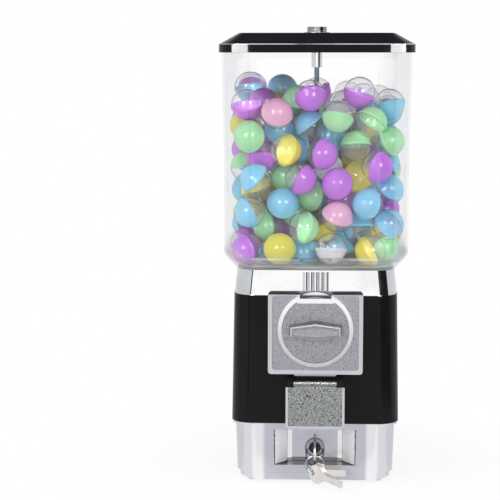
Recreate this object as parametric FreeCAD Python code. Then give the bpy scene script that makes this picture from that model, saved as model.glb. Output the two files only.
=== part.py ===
import FreeCAD, Part
import math
import os
import random

# A table-top capsule vending machine, in millimetres.
# The machine is drawn about its centre rod with the floor at Z 0, +Z up and the front towards -Y,
# and is written out with the origin on the floor under the middle of its whole box.
# From the floor up: feet, chrome base with cash drawer, black body with coin mechanism and
# capsule door, chrome collar, clear canister, black lid. One centre rod ties the stack together.

V = FreeCAD.Vector

# Heights of the stacked stages
FOOT_H = 3.0
BASE_H = 60.0
BODY_H = 129.4
COLLAR_H = 24.6
CANISTER_H = 219.0
LID_OVERLAP = 5.0
LID_BAND_H = 8.0
LID_SLOPE_H = 11.0

# Base: a drafted shell on a stepped plinth, under a deck with a thin lip
BASE_W = 160.0
BASE_SETBACK = 2.5
BASE_DRAFT = 3.0
BASE_R = 20.0
BASE_WALL = 2.5
PLINTH_STEP = 5.0
PLINTH_H = 7.7
PLINTH_EDGE = 2.5
STEP_RISE = 1.0
DECK_T = 2.5
LIP_INSET = 1.0
POST_R = 4.5
POST_AT = 63.0
PLATE_T = 2.0
FOOT_R = 8.0
FOOT_AT = 50.0
FOOT_STEM_R = 3.0
FOOT_CATCH = 1.0

# Pocket in the base front, with slanted sides, and the cash drawer behind it
POCKET_W = 83.0
POCKET_BACK_W = 56.0
POCKET_H = 36.8
POCKET_RISE = 16.4
POCKET_DEPTH = 18.0
POCKET_WALL = 2.0
DRAWER_L = 106.0
DRAWER_DROP = 1.9
DRAWER_WALL = 2.0
DRAWER_PANEL_T = 2.0
PANEL_BAR_W = 4.0
PANEL_BAR_T = 1.5
CHANNEL_T = 1.2
CHANNEL_FOOT_W = 11.0
CHANNEL_LIP_DROP = 4.0

# Body, collar and canister
BODY_OVERHANG = 4.0
BODY_W_TOP = 163.0
BODY_D = 165.0
BODY_R = 22.0
BODY_WALL = 3.0
BODY_POST_H = 22.0
GUSSET_T = 2.4
COLLAR_W = 162.0
COLLAR_W_TOP = 157.0
COLLAR_R = 22.0
COLLAR_WALL = 3.0
COLLAR_TOP_T = 2.5
PAD_W = 25.5
PAD_RIBS = 5
PAD_OUT = 1.0
CANISTER_W = 184.4
CANISTER_W_TOP = 188.3
CANISTER_R = 37.0
CANISTER_WALL = 2.5
CANISTER_STRAIGHT = 113.0
SHOULDER_H = 17.0
SHOULDER = [(0.0, 0.0), (0.62, 0.74), (0.8, 0.92), (1.0, 1.0)]

# Lid and its lock
LID_W = 193.0
LID_R = 34.0
LID_INSET = 20.0
LID_WALL = 2.5
LID_SEAT_W = 6.0
LID_LOCK_H = 7.0
LID_LOCK_R = 10.0
LID_LOCK_PLUG_R = 8.0
LID_FLANGE_R = 13.0
LID_FLANGE_T = 1.5
LID_NUT_T = 3.0
LID_NECK = 9.0
SLEEVE_R = 5.5
SLEEVE_DROP = 15.0
KEYWAY_W = 2.2
KEYWAY_H = 7.0
KEYWAY_DEPTH = 3.0

# Centre rod
ROD_R = 2.5
SPINDLE_R = 4.0
ROD_NUT_T = 4.5
ROD_NUT_R = 7.2
ROD_IN_SLEEVE = 14.0

# Capsules and the wheel that deals them
CAPSULE_D = 32.0
CAPSULE_WALL = 1.0
CAPSULE_SPIGOT = 3.0
POCKETS = 4
POCKET_PLAY = 2.6
DROP_PLAY = 3.4
WHEEL_H = 34.0
WHEEL_HUB_R = 14.0
WHEEL_HUB_H = 4.0
BUSH_WALL = 3.0
HOUSING_WALL = 2.2
HOUSING_FLOOR_T = 2.5
HOUSING_FLANGE_W = 6.2
HOUSING_FLANGE_T = 2.2
GROOVE_DEPTH = 7.0
FUNNEL_H = 7.0
FUNNEL_OUT = 3.4
GUARD_T = 1.5
GUARD_W = 48.0
CAPSULE_BANDS = 8
CAPSULE_LEVELS = 16
HEAP_COUNT = 150
HEAP_SEED = 5
HEAP_PITCH = 3.0
HEAP_STEP = 0.5
HEAP_UNEVEN = 5.0
HEAP_SPREAD = 0.06

# Gears: a pinion on the knob shaft drives the crown gear under the wheel
GEAR_MODULE = 3.05
PINION_TEETH = 10
GEAR_FACE = 7.8
ADDENDUM = 2.4
DEDENDUM = 3.0
TOOTH_TIP = 0.9
TOOTH_ROOT = 2.2
CROWN_BACK_T = 3.0

# Coin mechanism
KNOB_BELOW_BODY_TOP = 33.1
FACE_W = 93.8
FACE_H = 82.5
FACE_OVER_BODY = 4.5
FACE_T = 6.0
FACE_RIM = 4.0
FACE_RECESS = 1.5
FACE_R = 3.0
FACE_BEVEL = 3.6
TAB_W = 42.0
TAB_H = 4.0
BEZEL_W = 4.0
BEZEL_OUT = 8.5
WELL_FLOOR_T = 1.2
DISC_R = 33.0
DISC_T = 6.0
COIN_D = 24.3
COIN_T = 2.0
COIN_EXIT = -45.0
HOOD_W = 36.0
HOOD_H = 10.9
HOOD_OUT = 9.5
HOOD_LIP = 5.0
HANDLE_L = 52.0
HANDLE_MID = 19.5
HANDLE_END = 10.7
HANDLE_OUT = 18.0
SHAFT_R = 5.0
SHAFT_SEAT = 4.0
RATCHET_R = 14.0
RATCHET_TOOTH = 2.5
RATCHET_TEETH = 12
RATCHET_T = 4.0
PAWL_R = 3.0
PAWL_PIN_R = 1.5
PAWL_AT = 22.0
CUP_R = 27.5
CUP_WALL = 2.0
CUP_DEPTH = 12.0
CUP_FLANGE_W = 68.0
CUP_FLANGE_T = 2.5
CUP_SCREW_X = 30.0
CUP_SCREW_Z = 24.0
OPENING_W = 72.0
OPENING_UP = 30.0
OPENING_DOWN = 38.0
STUD_X = 41.5
STUD_R = 2.0
STUD_UP = 24.7
STUD_DOWN = 31.3
STUD_L = 6.5

# Chutes, capsule door
CHUTE_WALL = 1.5
MOUTH_RISE = 3.5
RAMP_RISE = 25.5
COIN_CHUTE_WALL = 1.2
COIN_CHUTE_PLAY = 2.2
COIN_CHUTE_DEPTH = 12.0
DOOR_W = 58.6
DOOR_H = 45.8
DOOR_T = 2.2
DOOR_R = 4.0
DOOR_RIM = 2.5
DOOR_RECESS = 0.6
DOOR_TONGUE_W = 42.4
DOOR_TONGUE_H = 6.0
DOOR_DROP = 4.2
KNUCKLE_R = 3.0
HINGE_PIN_R = 1.5
FRAME_T = 1.5
EAR_T = 6.0
EAR_UP = 8.5
EAR_DOWN = 2.6

# Drawer lock, keys
LOCK_RISE = 14.6
LOCK_FLANGE_R = 10.0
LOCK_FLANGE_T = 2.5
LOCK_R = 8.0
LOCK_L = 15.0
LOCK_NUT_T = 4.0
LOCK_NUT_R = 11.5
PLUG_R = 6.0
CAM_L = 24.0
CAM_W = 8.0
CAM_T = 2.0
CAM_SCREW_R = 1.5
STRIKE_T = 2.0
STRIKE_W = 20.0
STRIKE_FOOT = 9.0
KEY_T = 2.0
KEY_BLADE_H = 6.4
KEY_BLADE_L = 12.0
KEY_NECK = 6.5
KEY_BOW_R = 9.5
KEY_HOLE_R = 3.0
KEY_HOLE_IN = 4.4
KEY_HOLE_LOW = 1.5
RING_R = 9.0
RING_WIRE_R = 0.9
SPARE_BLADE_L = 24.0
SPARE_SIDE = 41.0
SPARE_DIP = 9.0
SECOND_DIP = -9.0

# Fasteners
SCREW_R = 2.0
SCREW_HEAD_R = 4.0
SCREW_HEAD_T = 1.8
SMALL_SCREW_R = 1.4
SMALL_HEAD_R = 2.8
SMALL_HEAD_T = 1.8
SMALL_SCREW_L = 3.0

# Fits
FIT = 0.05
LOOSE = 0.3
GAP = 0.5

# Levels and planes worked out from the sizes above
BASE_Z = FOOT_H
BODY_Z = BASE_Z + BASE_H
DECK_Z = BODY_Z - DECK_T
COLLAR_Z = BODY_Z + BODY_H
CANISTER_Z = COLLAR_Z + COLLAR_H
CANISTER_TOP = CANISTER_Z + CANISTER_H
LID_Z = CANISTER_TOP - LID_OVERLAP
LID_TOP = LID_Z + LID_BAND_H + LID_SLOPE_H
PLATE_TOP = BASE_Z + PLATE_T
BASE_D = BODY_D - 2 * BASE_SETBACK
BODY_W = BASE_W + 2 * BODY_OVERHANG
PLINTH_W = BASE_W - BASE_DRAFT - PLINTH_STEP
PLINTH_D = BASE_D - BASE_DRAFT - PLINTH_STEP
BODY_FRONT = -BODY_D / 2
BODY_INNER = BODY_FRONT + BODY_WALL

POCKET_Z = BASE_Z + POCKET_RISE
POCKET_FRONT = -BASE_D / 2
POCKET_BACK = POCKET_FRONT + POCKET_DEPTH
PANEL_W = POCKET_BACK_W - 2 * LOOSE
PANEL_H = POCKET_H - 2 * LOOSE
PANEL_Z = POCKET_Z + LOOSE
DRAWER_FRONT = POCKET_BACK + DRAWER_PANEL_T
DRAWER_BACK = DRAWER_FRONT + DRAWER_L
DRAWER_W = PANEL_W - 2 * GAP
DRAWER_TOP = PANEL_Z + PANEL_H - DRAWER_DROP
CHANNEL_TOP = DRAWER_TOP - CHANNEL_LIP_DROP
LOCK_Z = POCKET_Z + LOCK_RISE
STRIKE_Z = DRAWER_TOP + 2 * GAP

PINION_R = GEAR_MODULE * PINION_TEETH / 2
CROWN_TEETH = PINION_TEETH * POCKETS
CROWN_R = GEAR_MODULE * CROWN_TEETH / 2
CROWN_IN = CROWN_R - GEAR_FACE / 2
CROWN_OUT = CROWN_R + GEAR_FACE / 2
KNOB_Z = COLLAR_Z - KNOB_BELOW_BODY_TOP
PITCH_Z = KNOB_Z + PINION_R
FLOOR_Z = PITCH_Z + DEDENDUM
WHEEL_Z = FLOOR_Z + GAP
WHEEL_TOP = WHEEL_Z + WHEEL_H
WHEEL_R = CROWN_OUT + 2 * GAP
HOUSING_R = WHEEL_R + 2 * LOOSE
HOUSING_OUT = HOUSING_R + HOUSING_WALL
HOUSING_Z = FLOOR_Z - GROOVE_DEPTH - HOUSING_FLOOR_T
GROOVE_IN = CROWN_IN - 2 * GAP
FUNNEL_R = HOUSING_R + FUNNEL_OUT
FUNNEL_TOP = WHEEL_TOP + FUNNEL_H
BORE_R = (CAPSULE_D + POCKET_PLAY) / 2
DROP_R = (CAPSULE_D + DROP_PLAY) / 2
DROP_AT = GROOVE_IN - HOUSING_WALL - DROP_R + LOOSE

FACE_TOP = COLLAR_Z + FACE_OVER_BODY
FACE_Z = FACE_TOP - FACE_H
FACE_FRONT = BODY_FRONT - FACE_T
WELL_R = DISC_R + LOOSE
BEZEL_R = WELL_R + BEZEL_W
BEZEL_FRONT = BODY_FRONT - BEZEL_OUT
WELL_BACK = BODY_FRONT - WELL_FLOOR_T
DISC_BACK = WELL_BACK - LOOSE
DISC_FRONT = DISC_BACK - DISC_T
COIN_AT = DISC_R - COIN_D / 2 - 2 * GAP
CUP_BACK = BODY_FRONT + CUP_DEPTH
RATCHET_Y = BODY_FRONT + CUP_FLANGE_T + GAP
PINION_BACK = -CROWN_IN
PINION_FRONT = -CROWN_OUT

CHUTE_W = CAPSULE_D + DROP_PLAY
CHUTE_FRONT = -DROP_AT - CHUTE_W / 2
CHUTE_REAR = -DROP_AT + CHUTE_W / 2
MOUTH_Z = BODY_Z + MOUTH_RISE
HINGE_Z = BODY_Z - DOOR_DROP + DOOR_H + GAP
DOOR_BACK = BODY_FRONT - FRAME_T - LOOSE
HINGE_Y = DOOR_BACK - KNUCKLE_R - GAP / 2


def box(x0, x1, y0, y1, z0, z1):
    return Part.makeBox(x1 - x0, y1 - y0, z1 - z0, V(x0, y0, z0))


def pole_z(r, z0, z1, x=0.0, y=0.0):
    return Part.makeCylinder(r, z1 - z0, V(x, y, z0))


def pole_y(r, y0, y1, x=0.0, z=0.0):
    return Part.makeCylinder(r, y1 - y0, V(x, y0, z), V(0, 1, 0))


def pole_x(r, x0, x1, y, z):
    return Part.makeCylinder(r, x1 - x0, V(x0, y, z), V(1, 0, 0))


def face_of(points):
    """A flat face inside a closed run of straight edges."""
    return Part.Face(Part.makePolygon(points + points[:1]))


def turned(profile):
    """A solid of revolution about Z from (radius, height) points."""
    return face_of([V(r, 0, z) for r, z in profile]).revolve(V(0, 0, 0), V(0, 0, 1), 360)


def prism_x(profile, x0, x1):
    """A (y, z) profile drawn out along X."""
    return face_of([V(x0, y, z) for y, z in profile]).extrude(V(x1 - x0, 0, 0))


def prism_y(profile, y0, y1):
    """An (x, z) profile drawn out along Y."""
    return face_of([V(x, y0, z) for x, z in profile]).extrude(V(0, y1 - y0, 0))


def hexagon(r, x=0.0, z=0.0):
    steps = [math.radians(60 * i) for i in range(6)]
    return [(x + r * math.cos(a), z + r * math.sin(a)) for a in steps]


def hex_nut(r, bore, z0, z1):
    nut = face_of([V(x, y, z0) for x, y in hexagon(r)]).extrude(V(0, 0, z1 - z0))
    return nut.cut(pole_z(bore, z0, z1))


def rounded_rect(w, d, r, z):
    """A closed wire of four lines and four corner arcs, centred on the Z axis."""
    x, y = w / 2, d / 2
    k = r * (1 - math.sqrt(0.5))
    arcs = []
    for sx, sy in ((1, 1), (-1, 1), (-1, -1), (1, -1)):
        ends = [V(sx * x, sy * (y - r), z), V(sx * (x - r), sy * y, z)]
        first, last = ends if sx == sy else ends[::-1]
        arcs.append((first, V(sx * (x - k), sy * (y - k), z), last))
    edges = []
    for i, (first, mid, last) in enumerate(arcs):
        edges.append(Part.Arc(first, mid, last).toShape())
        edges.append(Part.LineSegment(last, arcs[(i + 1) % 4][0]).toShape())
    return Part.Wire(edges)


def tower(sections):
    """A solid through rounded rectangles given as (height, width, depth, corner radius)."""
    wires = [rounded_rect(w, d, r, z) for z, w, d, r in sections]
    return Part.makeLoft(wires, True, True)


def upright_panel(w, h, r, y0, y1, z_mid):
    """A rounded rectangular panel that stands in the XZ plane."""
    panel = tower([(0, w, h, r), (y1 - y0, w, h, r)])
    panel.rotate(V(0, 0, 0), V(1, 0, 0), 90)
    panel.translate(V(0, y1, z_mid))
    return panel


def joined(first, *others):
    return first.fuse(list(others)).removeSplitter()


def corners(at):
    return [(sx * at, sy * at) for sx in (-1, 1) for sy in (-1, 1)]


# Base

def base_sections(inset):
    step = BASE_Z + PLINTH_H
    rows = [
        (BASE_Z, PLINTH_W - 2 * PLINTH_EDGE, PLINTH_D - 2 * PLINTH_EDGE),
        (BASE_Z + PLINTH_EDGE, PLINTH_W, PLINTH_D),
        (step, PLINTH_W, PLINTH_D),
        (step + STEP_RISE, BASE_W - BASE_DRAFT, BASE_D - BASE_DRAFT),
        (DECK_Z, BASE_W, BASE_D),
    ]
    return [(z, w - 2 * inset, d - 2 * inset, BASE_R - inset) for z, w, d in rows]


def pocket_block(grow):
    """The slanted pocket: wide at the front of the base, narrow where the drawer closes it."""
    wires = []
    for y, w in ((POCKET_FRONT, POCKET_W), (POCKET_BACK, POCKET_BACK_W)):
        x = w / 2 + grow
        z0 = POCKET_Z - grow
        z1 = POCKET_Z + POCKET_H + grow
        ring = [V(-x, y, z0), V(x, y, z0), V(x, y, z1), V(-x, y, z1)]
        wires.append(Part.makePolygon(ring + ring[:1]))
    return Part.makeLoft(wires, True, True)


def coin_duct_levels():
    """Centres of the coin chute's level sections, from the mechanism down to the drawer."""
    beside = CHUTE_W / 2 + CHUTE_WALL + 2 * GAP + coin_duct_w() / 2 + COIN_CHUTE_WALL
    behind = CHUTE_REAR + CHUTE_WALL + COIN_CHUTE_DEPTH / 2 + COIN_CHUTE_WALL + 2 * GAP
    front = BODY_INNER + COIN_CHUTE_DEPTH / 2 + COIN_CHUTE_WALL + LOOSE
    over = SPINDLE_R + ROD_NUT_R + COIN_CHUTE_DEPTH / 2
    top = KNOB_Z - CUP_R - CUP_WALL - LOOSE
    return [
        V(coin_duct_w() / 2, front, top),
        V(beside, front, chute_ceiling(CHUTE_WALL) + GAP),
        V(beside, behind, BODY_Z + COIN_D / 2),
        V(DRAWER_W / 2 - DRAWER_WALL - coin_duct_w() / 2 - 2 * GAP, over, DECK_Z),
    ]


def coin_duct_w():
    return COIN_D + COIN_CHUTE_PLAY


def coin_duct(grow):
    """The coin chute's inner space, or its outer form when grown by the wall."""
    x = coin_duct_w() / 2 + grow
    y = COIN_CHUTE_DEPTH / 2 + grow
    wires = []
    for c in coin_duct_levels():
        ring = [c + V(-x, -y, 0), c + V(x, -y, 0), c + V(x, y, 0), c + V(-x, y, 0)]
        wires.append(Part.makePolygon(ring + ring[:1]))
    return Part.makeLoft(wires, True, True)


def base_housing():
    outer = tower(base_sections(0))
    shell = outer.cut(tower(base_sections(BASE_WALL)))
    lip_r = BODY_R - LIP_INSET
    lip = [(z, BODY_W - 2 * LIP_INSET, BODY_D - 2 * LIP_INSET, lip_r) for z in (DECK_Z, BODY_Z)]
    posts = [pole_z(POST_R, PLATE_TOP, DECK_Z, x, y) for x, y in corners(POST_AT)]
    deck = tower([(z, BASE_W, BASE_D, BASE_R) for z in (DECK_Z, BODY_Z)])
    shell = joined(shell, deck, tower(lip), pocket_block(POCKET_WALL).common(outer), *posts)
    shell = shell.cut(pocket_block(0))
    holes = [pole_z(SCREW_R + FIT, BASE_Z, BODY_Z, x, y) for x, y in corners(POST_AT)]
    holes += [coin_duct(COIN_CHUTE_WALL + LOOSE), pole_z(SPINDLE_R + FIT, DECK_Z, BODY_Z)]
    return shell.cut(holes)


def lock_strike():
    """A sheet angle under the deck that the upright lock cam catches behind."""
    back = POCKET_BACK + LOCK_L - GAP
    front = back - STRIKE_FOOT
    profile = [
        (front, DECK_Z),
        (front, DECK_Z - STRIKE_T),
        (back - STRIKE_T, DECK_Z - STRIKE_T),
        (back - STRIKE_T, STRIKE_Z),
        (back, STRIKE_Z),
        (back, DECK_Z),
    ]
    return prism_x(profile, -STRIKE_W / 2, STRIKE_W / 2)


def bottom_plate():
    edge = PLINTH_EDGE + BASE_WALL + LOOSE
    r = BASE_R - BASE_WALL - LOOSE
    plate = tower([(z, PLINTH_W - 2 * edge, PLINTH_D - 2 * edge, r) for z in (BASE_Z, PLATE_TOP)])
    holes = [pole_z(SCREW_R + FIT, BASE_Z, PLATE_TOP, x, y) for x, y in corners(POST_AT)]
    holes += [pole_z(FOOT_STEM_R + FIT, BASE_Z, PLATE_TOP, x, y) for x, y in corners(FOOT_AT)]
    return plate.cut(holes)


def chassis_screws():
    """Four long screws clamp the bottom plate, the base and the body."""
    profile = [
        (0, BASE_Z - SCREW_HEAD_T),
        (SCREW_HEAD_R, BASE_Z - SCREW_HEAD_T),
        (SCREW_HEAD_R, BASE_Z),
        (SCREW_R, BASE_Z),
        (SCREW_R, BODY_Z + BODY_POST_H - BODY_WALL),
        (0, BODY_Z + BODY_POST_H - BODY_WALL),
    ]
    return Part.makeCompound([turned(profile).translated(V(x, y, 0)) for x, y in corners(POST_AT)])


def rubber_feet():
    catch = FOOT_STEM_R + FOOT_CATCH
    profile = [
        (0, 0),
        (FOOT_R - FOOT_CATCH, 0),
        (FOOT_R, FOOT_CATCH),
        (FOOT_R, BASE_Z),
        (FOOT_STEM_R, BASE_Z),
        (FOOT_STEM_R, PLATE_TOP),
        (catch, PLATE_TOP),
        (FOOT_STEM_R, PLATE_TOP + 2 * FOOT_CATCH),
        (0, PLATE_TOP + 2 * FOOT_CATCH),
    ]
    return Part.makeCompound([turned(profile).translated(V(x, y, 0)) for x, y in corners(FOOT_AT)])


def drawer_channel():
    """A folded channel that stands on the bottom plate and carries the drawer."""
    a = DRAWER_W / 2 + LOOSE
    b = a + CHANNEL_FOOT_W
    t = CHANNEL_T
    floor_top = PANEL_Z - LOOSE
    half = [
        (a, floor_top - t),
        (a, PLATE_TOP),
        (b, PLATE_TOP),
        (b, PLATE_TOP + t),
        (a + t, PLATE_TOP + t),
        (a + t, CHANNEL_TOP),
        (a, CHANNEL_TOP),
        (a, floor_top),
    ]
    other = [(-x, z) for x, z in half[::-1]]
    return prism_y(half + other, DRAWER_FRONT, DRAWER_BACK + DRAWER_WALL)


# Cash drawer and its lock

def drawer_front():
    z_mid = PANEL_Z + PANEL_H / 2
    panel = upright_panel(PANEL_W, PANEL_H, PANEL_BAR_T, POCKET_BACK, DRAWER_FRONT, z_mid)
    for side in (-1, 1):
        y0 = POCKET_BACK - PANEL_BAR_T
        bar = upright_panel(PANEL_BAR_W, PANEL_H, PANEL_BAR_T, y0, POCKET_BACK, z_mid)
        panel = joined(panel, bar.translated(V(side * (PANEL_W - PANEL_BAR_W) / 2, 0, 0)))
    return panel.cut(pole_y(LOCK_R + FIT, POCKET_BACK, DRAWER_FRONT, 0, LOCK_Z))


def drawer_box():
    x = DRAWER_W / 2
    t = DRAWER_WALL
    outer = box(-x, x, DRAWER_FRONT, DRAWER_BACK, PANEL_Z, DRAWER_TOP)
    inner = box(t - x, x - t, DRAWER_FRONT + t, DRAWER_BACK - t, PANEL_Z + t, DRAWER_TOP)
    return outer.cut(inner).cut(pole_y(LOCK_R + FIT, DRAWER_FRONT, DRAWER_FRONT + t, 0, LOCK_Z))


def drawer_lock_barrel():
    flange = pole_y(LOCK_FLANGE_R, POCKET_BACK - LOCK_FLANGE_T, POCKET_BACK, 0, LOCK_Z)
    front_rim = [e for e in flange.Edges if e.BoundBox.YMax < POCKET_BACK - LOCK_FLANGE_T / 2]
    flange = flange.makeChamfer(LOCK_FLANGE_T / 2, front_rim)
    barrel = joined(flange, pole_y(LOCK_R, POCKET_BACK, POCKET_BACK + LOCK_L, 0, LOCK_Z))
    return barrel.cut(pole_y(PLUG_R + FIT, POCKET_BACK - LOCK_FLANGE_T, POCKET_BACK + LOCK_L, 0, LOCK_Z))


def drawer_lock_nut():
    y0 = DRAWER_FRONT + DRAWER_WALL
    nut = prism_y(hexagon(LOCK_NUT_R, 0, LOCK_Z), y0, y0 + LOCK_NUT_T)
    return nut.cut(pole_y(LOCK_R + FIT, y0, y0 + LOCK_NUT_T, 0, LOCK_Z))


def drawer_lock_plug():
    y0 = POCKET_BACK - LOCK_FLANGE_T
    y1 = POCKET_BACK + LOCK_L
    plug = pole_y(PLUG_R, y0, y1, 0, LOCK_Z)
    x = KEY_T / 2 + FIT
    z = KEY_BLADE_H / 2 + FIT
    keyway = box(-x, x, y0, y0 + KEY_BLADE_L + GAP, LOCK_Z - z, LOCK_Z + z)
    return plug.cut([keyway, pole_y(CAM_SCREW_R + FIT, y1 - CAM_T - GAP, y1, 0, LOCK_Z)])


def lock_cam():
    """A bar on the plug's tail: level it lets the drawer pass, upright it catches the strike."""
    y0 = POCKET_BACK + LOCK_L
    y1 = y0 + CAM_T
    arm = box(0, CAM_L - CAM_W / 2, y0, y1, LOCK_Z - CAM_W / 2, LOCK_Z + CAM_W / 2)
    ends = [pole_y(CAM_W / 2, y0, y1, x, LOCK_Z) for x in (0, CAM_L - CAM_W / 2)]
    return joined(arm, *ends).cut(pole_y(CAM_SCREW_R + FIT, y0, y1, 0, LOCK_Z))


def cam_screw():
    y0 = POCKET_BACK + LOCK_L
    y1 = y0 + CAM_T
    head = pole_y(SMALL_HEAD_R, y1, y1 + SMALL_HEAD_T, 0, LOCK_Z)
    return joined(head, pole_y(CAM_SCREW_R, y0 - CAM_T, y1, 0, LOCK_Z))


def key_bow_mid():
    return POCKET_BACK - LOCK_FLANGE_T - KEY_NECK - KEY_BOW_R


def key_hole():
    """Where the ring goes through the bow of the key in the lock."""
    return V(0, key_bow_mid() - KEY_BOW_R + KEY_HOLE_IN, LOCK_Z - KEY_HOLE_LOW)


def lock_key():
    y0 = key_bow_mid()
    x = KEY_T / 2
    z = KEY_BLADE_H / 2
    tip = POCKET_BACK - LOCK_FLANGE_T + KEY_BLADE_L
    bow = pole_x(KEY_BOW_R, -x, x, y0, LOCK_Z)
    key = joined(bow, box(-x, x, y0, tip, LOCK_Z - z, LOCK_Z + z))
    hole = key_hole()
    return key.cut(pole_x(KEY_HOLE_R, -x, x, hole.y, hole.z))


def ring_top():
    """Centre of the ring's wire where it rests in the key's hole."""
    hole = key_hole()
    return hole - V(0, 0, KEY_HOLE_R - RING_WIRE_R - LOOSE)


def key_ring():
    return Part.makeTorus(RING_R, RING_WIRE_R, ring_top() - V(0, 0, RING_R), V(0, 1, 0))


def hung_key(dip, along_wire):
    """A key on the ring that dips by that angle, so far along the wire from its lowest point."""
    z = KEY_BLADE_H / 2
    bow_at = KEY_BOW_R - KEY_HOLE_IN
    bow = Part.makeCylinder(KEY_BOW_R, KEY_T, V(bow_at, 0, -KEY_T / 2))
    blade = box(bow_at, bow_at + KEY_BOW_R + SPARE_BLADE_L, -z, z, -KEY_T / 2, KEY_T / 2)
    hole = Part.makeCylinder(KEY_HOLE_R, KEY_T, V(0, 0, -KEY_T / 2))
    key = joined(bow, blade).cut(hole)
    side = math.radians(SPARE_SIDE)
    down = math.radians(dip)
    level = V(math.cos(side), -math.sin(side), 0)
    along = level * math.cos(down) - V(0, 0, math.sin(down))
    normal = V(math.sin(side), math.cos(side), 0)
    up = normal.cross(along)
    rise = RING_R - math.sqrt(RING_R ** 2 - along_wire ** 2)
    wire = ring_top() + V(along_wire, 0, rise - 2 * RING_R)
    turn = FreeCAD.Rotation(along, up, normal, "XYZ")
    key.Placement = FreeCAD.Placement(wire - up * (KEY_HOLE_R - RING_WIRE_R) / 2, turn)
    return key


def spare_step():
    """How far along the ring's wire each of the two hung keys is from its lowest point."""
    return (KEY_T + LOOSE) / math.sin(math.radians(SPARE_SIDE)) / 2


def spare_key():
    return hung_key(SPARE_DIP, -spare_step())


def second_key():
    return hung_key(SECOND_DIP, spare_step())


# Body, collar and canister

def body_width(z):
    return BODY_W + (BODY_W_TOP - BODY_W) * (z - BODY_Z) / BODY_H


def body_form(inset, top):
    rows = [(z, body_width(z)) for z in (BODY_Z, top)]
    return tower([(z, w - 2 * inset, BODY_D - 2 * inset, BODY_R - inset) for z, w in rows])


def body_posts(outer):
    """Screw posts near the corners, each tied to its corner by a diagonal gusset."""
    top = BODY_Z + BODY_POST_H
    posts = []
    for x, y in corners(POST_AT):
        gusset = box(0, BODY_R, -GUSSET_T / 2, GUSSET_T / 2, BODY_Z, top)
        gusset.rotate(V(0, 0, 0), V(0, 0, 1), math.degrees(math.atan2(y, x)))
        gusset.translate(V(x, y, 0))
        posts += [pole_z(POST_R, BODY_Z, top, x, y), gusset.common(outer)]
    return posts


def stud_places():
    return [(side * STUD_X, KNOB_Z + rise) for side in (-1, 1) for rise in (-STUD_DOWN, STUD_UP)]


def housing_screw_places():
    r = HOUSING_OUT + HOUSING_FLANGE_W / 2
    angles = [math.radians(45 + 90 * i) for i in range(4)]
    return [(r * math.cos(a), r * math.sin(a)) for a in angles]


def body_shell():
    outer = body_form(0, COLLAR_Z)
    deck = COLLAR_Z - BODY_WALL
    shell = joined(outer.cut(body_form(BODY_WALL, deck)), *body_posts(outer))
    w = OPENING_W / 2
    x = CHUTE_W / 2 + CHUTE_WALL + LOOSE
    cuts = [
        box(-w, w, BODY_FRONT, BODY_INNER, KNOB_Z - OPENING_DOWN, KNOB_Z + OPENING_UP),
        prism_x(chute_profile(CHUTE_WALL + LOOSE), -x, x),
        pole_z(HOUSING_OUT + GAP, deck, COLLAR_Z),
    ]
    cuts += [pole_z(SCREW_R + FIT, BODY_Z, BODY_Z + BODY_POST_H, x, y) for x, y in corners(POST_AT)]
    cuts += [pole_y(STUD_R + FIT, BODY_FRONT, BODY_INNER, x, z) for x, z in stud_places()]
    cuts += [pole_z(SMALL_SCREW_R + FIT, deck, COLLAR_Z, x, y) for x, y in housing_screw_places()]
    return shell.cut(cuts)


def fluted_pad():
    """Upright ribs side by side on the collar's front, leaning back with its slope."""
    rib = PAD_W / PAD_RIBS
    rise = CANISTER_Z - COLLAR_TOP_T / 2 - FACE_TOP - GAP
    slope = (COLLAR_W - COLLAR_W_TOP) / 2 / COLLAR_H
    y = -COLLAR_W / 2 + slope * (FACE_TOP + GAP - COLLAR_Z)
    z = FACE_TOP + GAP
    edges = []
    for i in range(PAD_RIBS):
        x0 = -PAD_W / 2 + i * rib
        bulge = V(x0 + rib / 2, y - PAD_OUT - rib / 2, z)
        edges.append(Part.Arc(V(x0, y - PAD_OUT, z), bulge, V(x0 + rib, y - PAD_OUT, z)).toShape())
    back = y + COLLAR_WALL / 2
    x = PAD_W / 2
    ends = [V(x, y - PAD_OUT, z), V(x, back, z), V(-x, back, z), V(-x, y - PAD_OUT, z)]
    edges += Part.makePolygon(ends).Edges
    return Part.Face(Part.Wire(edges)).extrude(V(0, slope * rise, rise))


def collar():
    def form(inset, top):
        top_w = COLLAR_W + (COLLAR_W_TOP - COLLAR_W) * (top - COLLAR_Z) / COLLAR_H
        rows = [(COLLAR_Z, COLLAR_W), (top, top_w)]
        return tower([(z, w - 2 * inset, w - 2 * inset, COLLAR_R - inset) for z, w in rows])
    top = CANISTER_Z - COLLAR_TOP_T
    shell = form(0, CANISTER_Z).cut(form(COLLAR_WALL, top))
    shell = shell.cut(pole_z(FUNNEL_R + HOUSING_WALL + GAP, top, CANISTER_Z))
    return joined(shell, fluted_pad())


def canister_sections(inset):
    neck = COLLAR_W_TOP
    rows = [(CANISTER_Z + SHOULDER_H * h, neck + (CANISTER_W - neck) * g) for h, g in SHOULDER]
    rows += [(CANISTER_Z + CANISTER_STRAIGHT, CANISTER_W), (CANISTER_TOP, CANISTER_W_TOP)]
    radius = [CANISTER_R - max(CANISTER_W - w, 0) / 2 - inset for z, w in rows]
    return [(z, w - 2 * inset, w - 2 * inset, r) for (z, w), r in zip(rows, radius)]


def canister_hollow(inset):
    """Sections of the space inside the canister, that much in from its walls."""
    floor, *rows = canister_sections(CANISTER_WALL + inset)
    return [(floor[0] + CANISTER_WALL, *floor[1:])] + rows


def canister():
    jar = tower(canister_sections(0)).cut(tower(canister_hollow(0)))
    return jar.cut(pole_z(FUNNEL_R + HOUSING_WALL + GAP, CANISTER_Z, CANISTER_Z + CANISTER_WALL))


# Lid and lid lock

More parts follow.
